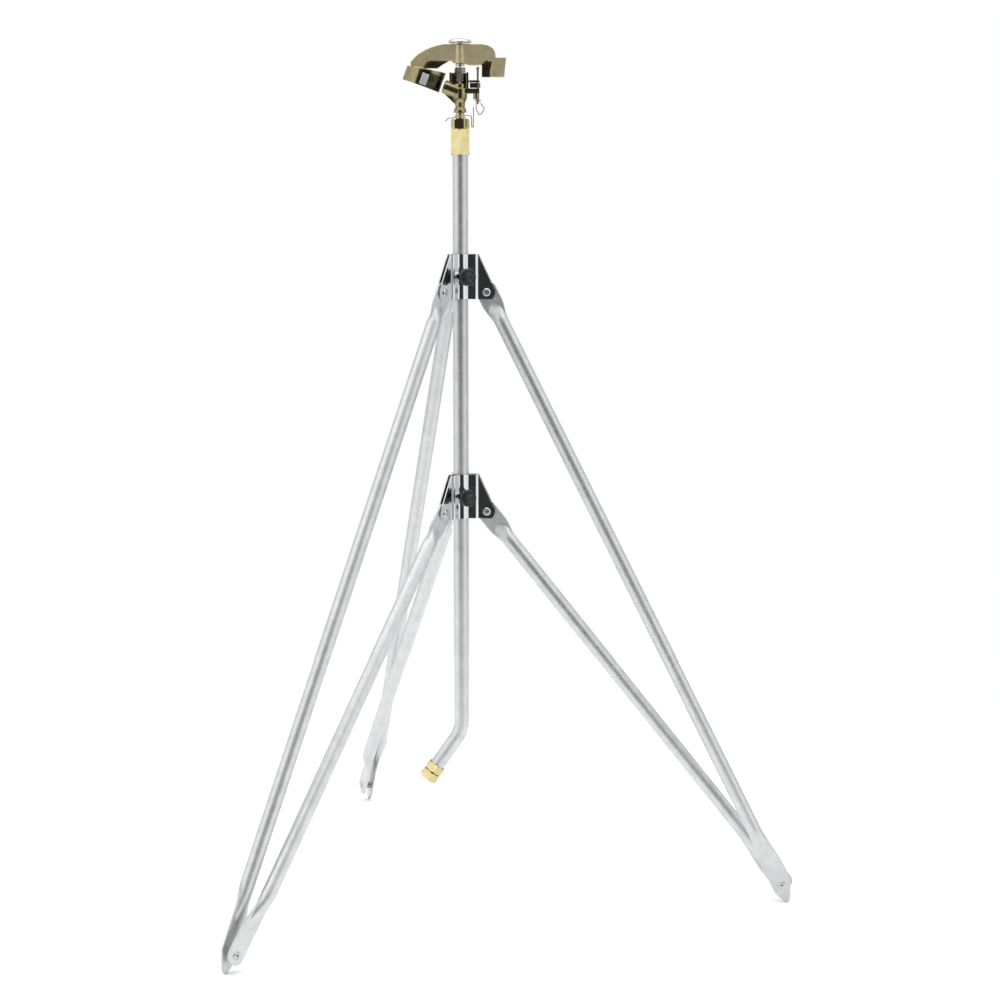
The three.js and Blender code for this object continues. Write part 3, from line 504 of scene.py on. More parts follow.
def mottled(name, dark, light, metallic, rough, grain, stretch=(1, 1, 1), relief=0.15, spangle=0.0, wear=0.0):
    """A surface whose colour, roughness and relief all vary at the grain's scale (per metre)."""
    material = bpy.data.materials.new(name)
    material.use_nodes = True
    nodes = material.node_tree.nodes
    links = material.node_tree.links
    shader = nodes["Principled BSDF"]
    shader.inputs["Metallic"].default_value = metallic
    where = nodes.new("ShaderNodeTexCoord")
    mapping = nodes.new("ShaderNodeMapping")
    mapping.inputs["Scale"].default_value = stretch
    links.new(where.outputs["Object"], mapping.inputs["Vector"])

    broad = nodes.new("ShaderNodeTexNoise")
    broad.inputs["Scale"].default_value = grain
    broad.inputs["Detail"].default_value = 5
    links.new(mapping.outputs["Vector"], broad.inputs["Vector"])
    ramp = nodes.new("ShaderNodeValToRGB")
    ramp.color_ramp.elements[0].position = NOISE_LOW
    ramp.color_ramp.elements[0].color = (*dark, 1)
    ramp.color_ramp.elements[1].position = NOISE_HIGH
    ramp.color_ramp.elements[1].color = (*light, 1)
    links.new(broad.outputs["Fac"], ramp.inputs["Fac"])
    colour = ramp.outputs["Color"]

    if spangle:
        cells = nodes.new("ShaderNodeTexVoronoi")
        cells.inputs["Scale"].default_value = SPANGLES_PER_METRE
        links.new(where.outputs["Object"], cells.inputs["Vector"])
        grey = nodes.new("ShaderNodeRGBToBW")
        links.new(cells.outputs["Color"], grey.inputs["Color"])
        shade = nodes.new("ShaderNodeMapRange")
        shade.inputs["To Min"].default_value = 1 - spangle
        shade.inputs["To Max"].default_value = 1 + spangle
        links.new(grey.outputs["Val"], shade.inputs["Value"])
        mixed = nodes.new("ShaderNodeVectorMath")
        mixed.operation = "SCALE"
        links.new(colour, mixed.inputs[0])
        links.new(shade.outputs["Result"], mixed.inputs["Scale"])
        colour = mixed.outputs["Vector"]

    if wear:
        geometry = nodes.new("ShaderNodeNewGeometry")
        edges = nodes.new("ShaderNodeMapRange")
        edges.inputs["From Min"].default_value = EDGE_START
        edges.inputs["From Max"].default_value = EDGE_END
        edges.inputs["To Max"].default_value = wear
        links.new(geometry.outputs["Pointiness"], edges.inputs["Value"])
        worn = nodes.new("ShaderNodeMix")
        worn.data_type = "RGBA"
        worn.inputs["B"].default_value = (*[min(1, WORN_GAIN * c) for c in light], 1)
        links.new(edges.outputs["Result"], worn.inputs["Factor"])
        links.new(colour, worn.inputs["A"])
        colour = worn.outputs["Result"]
    links.new(colour, shader.inputs["Base Color"])

    fine = nodes.new("ShaderNodeTexNoise")
    fine.inputs["Scale"].default_value = grain * FINE_PER_GRAIN
    fine.inputs["Detail"].default_value = 4
    links.new(mapping.outputs["Vector"], fine.inputs["Vector"])
    spread = nodes.new("ShaderNodeMapRange")
    spread.inputs["From Min"].default_value = NOISE_LOW
    spread.inputs["From Max"].default_value = NOISE_HIGH
    spread.inputs["To Min"].default_value = rough[0]
    spread.inputs["To Max"].default_value = rough[1]
    links.new(fine.outputs["Fac"], spread.inputs["Value"])
    links.new(spread.outputs["Result"], shader.inputs["Roughness"])

    bump = nodes.new("ShaderNodeBump")
    bump.inputs["Strength"].default_value = relief
    bump.inputs["Distance"].default_value = RELIEF_DEPTH
    links.new(fine.outputs["Fac"], bump.inputs["Height"])
    links.new(bump.outputs["Normal"], shader.inputs["Normal"])
    return material


MATERIALS = {
    "galvanised": mottled("galvanised", (0.57, 0.575, 0.58), (0.65, 0.655, 0.66), 1, (0.42, 0.50), 60,
                          relief=0.04, spangle=0.04),
    "dark_chrome": mottled("dark_chrome", (0.50, 0.54, 0.57), (0.62, 0.66, 0.69), 1, (0.06, 0.14), 70,
                           stretch=(1, 1, 0.3), relief=0.05, wear=0.3),
    "steel": mottled("steel", (0.46, 0.46, 0.46), (0.60, 0.60, 0.59), 1, (0.16, 0.28), 120, relief=0.06),
    "brass": mottled("brass", (0.48, 0.385, 0.18), (0.60, 0.51, 0.28), 1, (0.08, 0.16), 90, relief=0.04,
                     wear=0.3),
    # A darker, glossier copy of the satin bronze below: painted shade on the body, the spring cap, the spoon
    # and the far cheeks.
    "bronze_cast": mottled("bronze_cast", (0.24, 0.205, 0.11), (0.36, 0.315, 0.18), 1, (0.20, 0.30), 130,
                           relief=0.05, wear=0.25),
    "bronze_satin": mottled("bronze_satin", (0.66, 0.575, 0.35), (0.80, 0.71, 0.46), 1, (0.48, 0.58), 130,
                            relief=0.10, wear=0.15),
    "steel_satin": mottled("steel_satin", (0.70, 0.71, 0.70), (0.80, 0.81, 0.80), 1, (0.5, 0.62), 120,
                           relief=0.06),
    # A near-black copy of the same bronze: painted deep shade on the spoon band towards its free end.
    "bronze_deep_shade": mottled("bronze_deep_shade", (0.03, 0.026, 0.018), (0.10, 0.088, 0.06), 1, (0.22, 0.36), 130,
                           relief=0.14, wear=0.2),
    "spring_steel": mottled("spring_steel", (0.14, 0.14, 0.11), (0.24, 0.24, 0.19), 1, (0.20, 0.34), 150,
                            relief=0.08),
    "black_plastic": mottled("black_plastic", (0.010, 0.010, 0.011), (0.022, 0.022, 0.023), 0, (0.34, 0.5),
                             200, relief=0.2),
    "rubber": mottled("rubber", (0.014, 0.013, 0.012), (0.03, 0.029, 0.027), 0, (0.6, 0.8), 180, relief=0.25),
}


# ---------------------------------------------------------------- legs
def ease(t):
    t = np.clip(t, 0, 1)
    return t * t * (3 - 2 * t)


def pressed_half_height(x, half_width, roundness):
    """Half the thickness of a pressed tube at x from its middle: a bulge between two flat fins."""
    narrow = 0.42
    opening = 0.7
    lens = PRESSED / 2
    past_flat = np.clip(np.abs(x) - (half_width - lens), 0, None)
    fin = lens * np.sqrt(np.clip(1 - (past_flat / lens) ** 2, 0, 1))
    top = lens + (TUBE_R - lens) * ease(roundness)
    bulge_width = half_width * (narrow + (1 - narrow) * roundness ** opening)
    bulge = top * np.sqrt(np.clip(1 - (x / bulge_width) ** 2, 0, 1)) if roundness > 0 else 0 * x
    return np.maximum(fin, bulge)


def end_arc(x):
    """How far a flat end rounded to its own width reaches at x from its middle."""
    return np.sqrt(np.clip(PRESSED_HALF_WIDTH ** 2 - x ** 2, 0, None))


def pressed_tube(length, side, hub_flat, foot_end):
    """A leg tube along -Z from its hub rivet; foot_end gives the outline past the foot rivet at each x."""
    sides = 96
    flat_steps = 4
    shape_steps = 18
    seam_share = 0.2
    seam_most = 0.3
    hub_round = hub_flat + HUB_FORMING
    angles = np.arange(sides) * 2 * math.pi / sides
    stations = []
    for part in np.linspace(0, 1, flat_steps + 1)[:-1]:
        stations.append(("hub", part))
    for part in np.linspace(0, 1, shape_steps + 1):
        stations.append(("tube", hub_flat + HUB_FORMING * part))
    for part in np.linspace(0, 1, shape_steps + 1):
        stations.append(("tube", length - FOOT_ROUND + (FOOT_ROUND - FOOT_FLAT) * part))
    for part in np.linspace(0, 1, flat_steps + 1)[1:]:
        stations.append(("foot", part))

    def ring_at(kind, where, wall):
        along = {"hub": hub_flat * where, "tube": where, "foot": length - FOOT_FLAT * (1 - where)}[kind]
        from_hub = (along - hub_flat) / HUB_FORMING
        from_foot = (length - FOOT_FLAT - along) / (FOOT_ROUND - FOOT_FLAT)
        roundness = float(np.clip(min(from_hub, from_foot), 0, 1))
        thickness = PRESSED + (2 * TUBE_R - PRESSED) * ease(roundness)
        half_width = (math.pi * (2 * TUBE_R - thickness) / 2 + thickness) / 2
        x = half_width * np.cos(angles)
        height = pressed_half_height(x, half_width, roundness)
        if wall:
            x = x * (half_width - wall) / half_width
            height = np.maximum(height - wall, np.minimum(height * seam_share, seam_most))
        y = height * np.sign(np.round(np.sin(angles), 9))
        drift = FOOT_TUBE_SIDE * np.clip((along - hub_round) / (length - FOOT_ROUND - hub_round), 0, 1)
        late = ease((along - (length - FOOT_ROUND)) / (FOOT_ROUND - FOOT_FLAT))
        y = y + side * (drift + (FOOT_FLAT_SIDE - FOOT_TUBE_SIDE) * late)
        reach = np.full(sides, along, float)
        if kind == "hub":
            end = -end_arc(x)
            reach = end + (hub_flat - end) * where
        if kind == "foot":
            start = length - FOOT_FLAT
            reach = start + (foot_end(x) - start) * where
        return np.column_stack([x, y, -reach])

    outer = [ring_at(kind, where, 0) for kind, where in stations]
    inner = [ring_at(kind, where, TUBE_WALL) for kind, where in stations]
    return loft(outer + inner[::-1], wrap=True)


def spade_end(length, angle):
    """The upper leg's foot: cut upright on its outer side, and down to a point on the ground."""
    def at_foot(radial, height):
        return (radial * math.cos(angle) + height * math.sin(angle),
                length + radial * math.sin(angle) - height * math.cos(angle))

    corner_radius = 2.2
    corners = [at_foot(12, 40), at_foot(12, -19), at_foot(9, -FOOT_HEIGHT), at_foot(4, -FOOT_HEIGHT),
               at_foot(-12, -11), at_foot(-30, 14)]
    outline = sorted((tuple(p) for p in eased(corners, corner_radius)), key=lambda p: p[0])
    across = [p[0] for p in outline]
    along = [p[1] for p in outline]
    return lambda x: np.interp(x, across, along)


def round_end(length):
    """The strut's foot: rounded, and a little shorter than a half circle about the rivet would be."""
    short = 2
    return lambda x: length - short + end_arc(x)


def add_legs():
    for i in LEGS:
        foot = place(f"foot_rivet_{i}")
        foot_r = math.hypot(foot.x, foot.y)
        for node, hub, side, hub_flat in ((f"upper_leg_{i}", "upper", -1, LEG_HUB_FLAT),
                                          (f"lower_leg_{i}", "lower", 1, STRUT_HUB_FLAT)):
            rivet = place(f"{hub}_hub_rivet_{i}")
            drop = rivet.z - foot.z
            length = math.hypot(foot_r - HUB_RIVET_R, drop)
            angle = math.atan2(foot_r - HUB_RIVET_R, drop)
            end = spade_end(length, angle) if side < 0 else round_end(length)
            stand = (turn("Z", azimuth_of(rivet)) @ shift(HUB_RIVET_R, 0, rivet.z)
                     @ turn("Y", -math.degrees(angle)))
            across = turn("X", 90)
            hub_hole = rod(RIVET_R + CLEARANCE, -THROUGH, THROUGH, sides=HOLE_SIDES)
            foot_hole = rod(RIVET_R + 2 * CLEARANCE, -THROUGH, THROUGH, sides=HOLE_SIDES)
            leg = object_of(node, moved(pressed_tube(length, side, hub_flat, end), stand))
            cut(leg, moved(hub_hole, stand @ across), moved(foot_hole, stand @ shift(0, 0, -length) @ across))
            finished(leg, node, node, "galvanised", sharp=38)
        add_foot_rivet(i, foot)


def rivet_profile(face, collar=None):
    """A tubular rivet's profile: a rolled ring round a hollow at each end, and a collar if it has one."""
    top = face + RIVET_HEAD
    half = [(0, top - 3.4), (1.3, top - 3.2), (1.7, top - 0.7), (2.3, top), (4.1, top - 0.15),
            (RIVET_HEAD_R, face + 0.35), (RIVET_HEAD_R - 0.1, face), (RIVET_R, face)]
    if collar:
        half += [(RIVET_R, collar), (5, collar)]
    return [(r, z) for r, z in half] + [(r, -z) for r, z in reversed(half)]


def add_foot_rivet(i, foot):
    face = FOOT_FLAT_SIDE + PRESSED / 2 + FIT
    collar = FOOT_FLAT_SIDE - PRESSED / 2 - FIT
    stand = Matrix.Translation(foot) @ turn("Z", azimuth_of(foot)) @ turn("X", 90)
    rivet = lathe(rivet_profile(face, collar), RIVET_ROUNDING, RIVET_SIDES)
    add(f"foot_rivet_{i}", f"upper_leg_{i}", "steel", moved(rivet, stand))


# ---------------------------------------------------------------- hubs
def wing_heights(along):
    """The lowest and highest level of a hub plate's wing, at a distance from the riser's axis."""
    slope_azimuth = 22
    corner_slope = math.radians(slope_azimuth)
    slope_end = HUB_RIVET_R + HUB_CORNER * math.cos(corner_slope)
    slope_end_z = HUB_CORNER * math.sin(corner_slope)
    arc = math.sqrt(max(HUB_CORNER ** 2 - (along - HUB_RIVET_R) ** 2, 0))
    low = HUB_LOW if along < HUB_RIVET_R else -min(-HUB_LOW, arc)
    if along <= HUB_TOP_R:
        return low, HUB_HIGH
    if along <= slope_end:
        part = (along - HUB_TOP_R) / (slope_end - HUB_TOP_R)
        return low, HUB_HIGH + (slope_end_z - HUB_HIGH) * part
    return low, arc


def hub_plate(start, end):
    """One stamped plate: a saddle on the pipe and a wing along each of two legs, which jogs in to the leg."""
    rows = 7
    bend = 3.2
    bend_steps = 7
    tip_start = 3
    root_side = WING_SIDE + PLATE / 2 + WING_JOG
    saddle = SADDLE_R + PLATE / 2
    corner_along = math.sqrt(saddle ** 2 - root_side ** 2)
    corner_angle = math.degrees(math.asin(root_side / saddle))
    bend_angle = math.degrees(bend / saddle)
    tip = [HUB_RIVET_R + HUB_CORNER * math.cos(math.radians(a)) for a in np.linspace(tip_start, 90, 16)]
    straight = list(np.linspace(HUB_RIVET_R, HUB_TOP_R, 6))[1:]
    straight += list(np.linspace(HUB_TOP_R, corner_along + bend, 20))[1:]
    wing = tip + straight

    def on_plan(along, side, azimuth):
        a = math.radians(azimuth)
        return (along * math.cos(a) - side * math.sin(a), along * math.sin(a) + side * math.cos(a))

    def side_at(along):
        return root_side - WING_JOG * float(ease((along - JOG_START) / (JOG_END - JOG_START)))

    def on_arc(azimuth):
        a = math.radians(azimuth)
        return (saddle * math.cos(a), saddle * math.sin(a))

    path = [(on_plan(along, side_at(along), start), wing_heights(along)) for along in wing]
    far_wing = [(on_plan(along, -side_at(along), end), wing_heights(along)) for along in reversed(wing)]
    first_corner = on_plan(corner_along, root_side, start)
    last_corner = on_plan(corner_along, -root_side, end)
    first_arc = start + corner_angle + bend_angle
    last_arc = end - corner_angle - bend_angle
    saddle_path = bezier(path[-1][0], first_corner, on_arc(first_arc), bend_steps)
    saddle_path += [on_arc(a) for a in np.linspace(first_arc, last_arc, 17)[1:]]
    saddle_path += bezier(saddle_path[-1], last_corner, far_wing[0][0], bend_steps)
    path += [(p, (HUB_LOW, HUB_HIGH)) for p in saddle_path]
    path += far_wing[1:]

    plan = np.array([point for point, span in path])
    ways = np.gradient(plan, axis=0)
    ways /= np.linalg.norm(ways, axis=1)[:, None]
    normals = np.column_stack([ways[:, 1], -ways[:, 0]])
    rings = []
    heights = [span for point, span in path]
    for (x, y), (low, high), (nx, ny) in zip(plan, heights, normals):
        levels = np.linspace(low, high, rows)
        front = [(x + nx * PLATE / 2, y + ny * PLATE / 2, z) for z in levels]
        back = [(x - nx * PLATE / 2, y - ny * PLATE / 2, z) for z in levels[::-1]]
        rings.append(np.array(front + back))
    return loft(rings)


def add_hub(name):
    rivets = [place(f"{name}_hub_rivet_{i}") for i in LEGS]
    z = rivets[0].z
    clamp = shift(0, 0, z + CLAMP_RISE) @ turn("Z", CLAMP_AZIMUTH) @ turn("Y", 90)
    screw_way = moved(rod(SCREW_R + CLEARANCE, PIPE_R, BOSS_OUT, sides=HOLE_SIDES), clamp)
    for i, rivet in zip(LEGS, rivets):
        azimuth = azimuth_of(rivet)
        node = f"{name}_hub_plate_{i}"
        plate = object_of(node, moved(hub_plate(azimuth, azimuth + 120), shift(0, 0, z)))
        if i == LEGS[-1]:
            cut(plate, screw_way)
        bevelled(plate, 0.45)
        finished(plate, node, f"{name}_hub", "dark_chrome", sharp=16)
        stand = Matrix.Translation(rivet) @ turn("Z", azimuth) @ turn("X", 90)
        shank = lathe(rivet_profile(WING_SIDE + PLATE + FIT), RIVET_ROUNDING, RIVET_SIDES)
        add(f"{name}_hub_rivet_{i}", f"{name}_hub", "steel", moved(shank, stand))

    boss = ring(SCREW_R + CLEARANCE, BOSS_R, SADDLE_R + PLATE + FIT, BOSS_OUT, 0.6)
    add(f"{name}_clamp_boss", f"{name}_hub", "dark_chrome", moved(boss, clamp))
    pitch = 1.25
    depth = 0.5
    screw_start = PIPE_R + CLEARANCE
    screw_end = KNOB_OUT - 6
    screw = [(0, screw_start), (SCREW_R - 0.7, screw_start),
             *threads(SCREW_R, PIPE_R + 1, screw_end - 1, pitch, depth),
             (SCREW_R - 0.7, screw_end), (0, screw_end)]
    add(f"{name}_clamp_screw", f"{name}_clamp", "steel", moved(lathe(screw, 0.1, RIVET_SIDES), clamp))
    bore = SCREW_R + FIT
    base = BOSS_OUT + 1
    crown = base + 10.2
    bore_end = KNOB_OUT - 5.8
    knob = lathe([
        (bore, base), (8, base), (9.4, base + 1.6), (KNOB_R, base + 3.6), (KNOB_R, base + 9), (10.8, crown),
        (7.2, crown - 0.6), (6.4, crown + 0.4), (5.6, KNOB_OUT - 1.2), (4.8, KNOB_OUT), (2.6, KNOB_OUT),
        (2.0, KNOB_OUT - 0.7), (0, KNOB_OUT - 0.8), (0, bore_end), (bore, bore_end), (bore, base),
    ], 0.5, 144, flutes=18, flute_depth=0.035, fluted_from=9.5)
    add(f"{name}_clamp_knob", f"{name}_clamp", "black_plastic", moved(knob, clamp))


# ---------------------------------------------------------------- riser and inlet
def on_slant(distance):
    """A point on the slanting foot of the riser, measured from where the two straight axes cross."""
    a = math.radians(BEND_ANGLE)
    return (-math.sin(a) * distance, 0, BEND_CORNER - math.cos(a) * distance)


def add_riser():
    lead = 2
    tangent = BEND_RADIUS * math.tan(math.radians(BEND_ANGLE / 2))
    bend_start = BEND_CORNER + tangent
    path = [(0, 0, PIPE_TOP), (0, 0, bend_start + lead)]
    for a in np.linspace(0, math.radians(BEND_ANGLE), 25):
        path.append((BEND_RADIUS * (math.cos(a) - 1), 0, bend_start - BEND_RADIUS * math.sin(a)))
    path += [on_slant(tangent + lead), on_slant(INLET_START + INLET_LENGTH - 1)]
    skins = rings_along(path, PIPE_R, SIDES) + rings_along(path, PIPE_R - PIPE_WALL, SIDES)[::-1]
    add("riser_pipe", "riser", "galvanised", loft(skins, wrap=True))

    low = level("riser_coupling", 0)
    high = level("riser_coupling", 1)
    coupling = hex_prism(COUPLING_FLATS, low, high, PIPE_R + CLEARANCE, HEX_CHAMFER)
    add("riser_coupling", "riser", "brass", coupling)
    add_inlet(Matrix.Translation(on_slant(INLET_START)) @ turn("Y", 180 + BEND_ANGLE))


def add_inlet(stand):
    """The hex adapter on the riser's foot, and the swivel nut held on its neck by a rim."""
    rim_r = INLET_NECK_R + 1
    tail = INLET_LENGTH + INLET_NECK
    pilot = 2
    adapter_hex = hex_prism(INLET_FLATS, 0, INLET_LENGTH, pilot, HEX_CHAMFER)
    adapter = object_of("inlet_adapter", moved(adapter_hex, stand))
    boolean(adapter, moved(rod(INLET_NECK_R, INLET_LENGTH - 3, tail - 0.6), stand), "UNION")
    boolean(adapter, moved(rod(rim_r, tail - 1.2, tail, 0.3), stand), "UNION")
    pipe_socket = rod(PIPE_R + CLEARANCE, -1, INLET_LENGTH - 0.7)
    cut(adapter, moved(pipe_socket, stand), moved(rod(INLET_BORE_R, -2, tail + 2), stand))
    finished(adapter, "inlet_adapter", "riser", "brass")

    thread_r = 10.3
    pitch = 1.8
    depth = 0.7
    mouth_r = thread_r + CLEARANCE
    nut_low = INLET_LENGTH + SWIVEL_GAP
    nut_high = nut_low + SWIVEL_LENGTH
    land = nut_low + 1.4
    nut_hex = hex_prism(INLET_FLATS, nut_low, nut_high, INLET_NECK_R + 0.4, HEX_CHAMFER)
    nut = object_of("hose_swivel_nut", moved(nut_hex, stand))
    hollow = [(0, land), (thread_r - CLEARANCE, land),
              *threads(thread_r, land + 1.5, nut_high - 0.5, pitch, depth),
              (mouth_r, nut_high), (mouth_r, nut_high + 2), (0, nut_high + 2)]
    cut(nut, moved(lathe(hollow, 0.15), stand))
    finished(nut, "hose_swivel_nut", "hose_swivel", "brass")
    washer = ring(INLET_BORE_R, 9.4, tail + 0.3, tail + 1.8, 0.4)
    add("hose_washer", "hose_swivel", "rubber", moved(washer, stand))


# ---------------------------------------------------------------- bearing under the head
def add_bearing():
    overlap = 2
    pilot = 2
    bore = STEM_R + CLEARANCE
    flange_top = STEM_LOW + STEM_FLANGE
    shoulder = level("riser_coupling", 1)
    hex_low = shoulder + CLEARANCE
    wrench_hex = hex_prism(NIPPLE_FLATS, hex_low, NIPPLE_HEX_TOP, pilot, HEX_CHAMFER, twist=NIPPLE_TWIST)
    nipple = object_of("bearing_nipple", wrench_hex)
    boolean(nipple, rod(PIPE_R, NIPPLE_LOW, shoulder + overlap, 0.4), "UNION")
    boolean(nipple, rod(NIPPLE_NECK_R, NIPPLE_HEX_TOP - overlap, NIPPLE_TOP, 0.4), "UNION")
    cut(nipple, rod(bore, PIPE_TOP, NIPPLE_TOP + overlap))
    finished(nipple, "bearing_nipple", "riser", "brass")
    add("stem_tube", "head", "steel", lathe([
        (STEM_BORE_R, STEM_LOW), (STEM_FLANGE_R, STEM_LOW), (STEM_FLANGE_R, flange_top), (STEM_R, flange_top),
        (STEM_R, STEM_TOP), (STEM_BORE_R, STEM_TOP), (STEM_BORE_R, STEM_LOW)]))
    add("bearing_washer", "head", "rubber", ring(bore, STEM_FLANGE_R, flange_top + FIT, NIPPLE_LOW - FIT))
    coils = helix(STEM_R + 1.1, NIPPLE_TOP + 0.9, 1099.4, 2.4)
    add("pressure_spring", "head", "spring_steel", wire(coils, 0.6, steps=2))
    hollow_r = 6.4
    # The spring cap takes the darker, glossier bronze: painted shade.
    add("spring_cap", "head", "bronze_cast", lathe([
        (hollow_r, 1094), (8.9, 1094), (8.9, 1096.6), (7, 1101.4), (bore, 1101.4), (bore, 1100.2),
        (hollow_r, 1100.2), (hollow_r, 1094)], 0.6))
    add_collars()


def add_collars():
    """Two wire trip stops that grip the nipple's neck: a short ear on the left, a hairpin on the right."""
    loop_r = NIPPLE_NECK_R + COLLAR_WIRE_R + 0.7
    per_turn = 12
    low = 1087.6
    ear = [(-20, -7.4, 1083), (-15, -6.2, 1086.6)]
    left = [*ear, *helix(loop_r, low, low, 0.86, -155, per_turn)]
    add("friction_collar_left", "collar_left", "steel", wire(left, COLLAR_WIRE_R, steps=5))
    high = 1090.2
    side = -4.6
    hairpin = [(11, high), (15.4, 1088), (15.8, 1077), (17, 1074.4), (18.2, 1077), (18.4, 1088), (18.2, 1101)]
    right = [*helix(loop_r, high, high, 0.8, 30, per_turn), *[(x, side, z) for x, z in hairpin]]
    add("friction_collar_right", "collar_right", "steel", wire(right, COLLAR_WIRE_R, steps=5))


# ---------------------------------------------------------------- sprinkler head
BARREL = shift(0, 0, BARREL_Z) @ turn("Y", -(90 - JET_RISE))
SPOON = Matrix.Translation(SPOON_CENTRE) @ turn("Y", SPOON_TILT)
TRIP = shift(TRIP_X, TRIP_Y, 0)


def add_body():
    foot = rod(6.9, 1101.9, 1113)
    belly = lathe([(0, 1108), (7.4, 1108), (9.8, 1114), (9.8, 1127), (0, 1127)], 1.5)
    barrel = moved(rod(BARREL_R, 0, BARREL_LENGTH), BARREL)
    deck = block(-10, 26.6, -7.5, 7.5, 1119.5, 1126.4)
    trip_boss = moved(rod(4.2, 1112, 1126), shift(TRIP_X - 2, TRIP_Y, 0))
    rib = side_slab([(-24.2, 1124.4), (-21, 1118.6), (-6, 1104.4), (-2, 1112), (-10, 1124)], 3.4)
    right_post = block(8.4, 11.6, -7.5, WALL_FAR, 1125, POST_TOP)
    wall = block(-14.2, 11.2, WALL_NEAR, WALL_FAR, POST_LOW, POST_TOP)
    trip_shelf = block(8.6, 26.8, -6.5, 3.5, 1134.6, 1137.6)
    left_post = block(-14.6, -11.4, -5, WALL_FAR, POST_LOW, POST_TOP)
    spring_seat = rod(7.8, 1126, 1133)
    casting = together(foot, belly, barrel, deck, trip_boss, rib, right_post, wall, trip_shelf, left_post,
                       spring_seat)
    body = melt(object_of("sprinkler_body", casting), 0.55, 5)

    shaft_hole = rod(SHAFT_HOLE_R, 1127, 1149)
    trip_hole = moved(rod(TRIP_HOLE_R, 1100, 1150, sides=HOLE_SIDES), TRIP)
    stem_socket = rod(STEM_R + CLEARANCE, 1100, 1112)
    waterway = rod(STEM_BORE_R, 1104, BARREL_Z)
    barrel_bore = moved(rod(4.5, -2, 14), BARREL)
    nozzle_socket = moved(rod(6.6, 13, 30), BARREL)
    cut(body, shaft_hole, trip_hole, stem_socket, waterway, barrel_bore, nozzle_socket)
    # The body takes the darker, glossier bronze: painted shade.
    finished(body, "sprinkler_body", "head", "bronze_cast", sharp=50)

    mouth_r = 2.6
    throat_r = 3.6
    root = 14.3
    rim = 23.6
    reach = 24.6
    nozzle = lathe([
        (throat_r, root), (6.3, root), (6.3, rim), (7.2, rim), (7.2, reach), (mouth_r, reach), (mouth_r, 21),
        (throat_r, root)], 0.3)
    add("nozzle", "head", "brass", moved(nozzle, BARREL))


def arm_outline():
    """The arm from the side: nose, long back, tail weight, and the underside with the bush in its middle."""
    shoulder = 1167.8
    bush_low = 1157.8
    under_nose = 1163.8
    outline = [(-66.6, ARM_NOSE_LOW), (-67.4, 1161.5)]
    outline += bezier(outline[-1], (-52, 1181), (-22, ARM_TOP), 24)
    outline += [(26, ARM_TOP)]
    outline += bezier(outline[-1], (47, 1185.5), (48.6, 1172), 16)
    outline += [(48.7, shoulder), (63, shoulder), (60.4, ARM_LOW), (41.4, ARM_LOW)]
    outline += bezier(outline[-1], (41.6, 1156), (44.6, 1162.4), 12)
    outline += [(36, 1165)]
    outline += bezier(outline[-1], (31, 1158), (24, bush_low), 8)
    outline += [(12, bush_low)]
    outline += bezier(outline[-1], (-4, 1164), (-20, under_nose), 10)
    outline += [(-36, under_nose)]
    outline += bezier(outline[-1], (-45, 1163.4), (-46.6, 1160.4), 10)
    outline += [(-50, 1155), (-50, ARM_NOSE_LOW)]
    return outline


def arm_pocket():
    """The hollow between the arm's two sides, open below."""
    low = 1140
    high = 1181
    outline = [(-46, low), (-46, 1158)]
    outline += bezier(outline[-1], (-40, 1176), (-20, high), 12)
    outline += [(24, high)]
    outline += bezier(outline[-1], (37, 1180), (38, 1170), 10)
    outline += [(36, low)]
    return outline


def rim_level(x):
    """The level of the spoon's sloping upper rim, at x from its middle."""
    return SPOON_RISE + math.tan(math.radians(SPOON_SLOPE)) * x


def spoon_band():
    """The half-round band below the nose: a plain strip above, and a ribbed strip towards its free end."""
    rib_start = 286
    rib_fade = 8
    strip_fade = 1.2
    rib_middle = 0.35
    rib_wave = 0.25
    edge = 0.5
    edge_height = 0.6
    rings = []
    inner = SPOON_R - SPOON_WALL
    for azimuth in np.linspace(SPOON_START, SPOON_END, 61):
        a = math.radians(azimuth)
        low = -SPOON_DROP
        high = rim_level(SPOON_R * math.cos(a))
        levels = np.linspace(low, high, 41)
        strip = ease((azimuth - rib_start) / rib_fade) * ease((SPOON_DROP - levels) / strip_fade)
        outer = SPOON_R - strip * (rib_middle - rib_wave * np.cos(levels * 2 * math.pi / RIB_PITCH))
        outer[0] -= edge
        outer[-1] -= edge
        loop = list(zip(outer, levels))
        loop += [(inner + edge, high), (inner, high - edge_height)]
        loop += [(inner, low + edge_height), (inner + edge, low)]
        rings.append(np.array([(r * math.cos(a), r * math.sin(a), z) for r, z in loop]))
    return moved(loft(rings), SPOON)


def spoon_roof():
    """The plate that closes the spoon above and carries it under the nose."""
    inner = 4
    outer = SPOON_R - 1
    sunk = 0.4
    outline = sector(inner, outer, SPOON_START + 3, SPOON_END - 5, 49)
    plate = extruded(outline, -SPOON_ROOF, -sunk)
    return moved(plate, SPOON @ shift(0, 0, SPOON_RISE) @ turn("Y", -SPOON_SLOPE))


def sector(inner, outer, start, end, steps):
    """The outline of a stretch of a ring between two azimuths in degrees."""
    angles = [math.radians(a) for a in np.linspace(start, end, steps)]
    outline = [(outer * math.cos(a), outer * math.sin(a)) for a in angles]
    outline += [(inner * math.cos(a), inner * math.sin(a)) for a in reversed(angles)]
    return outline


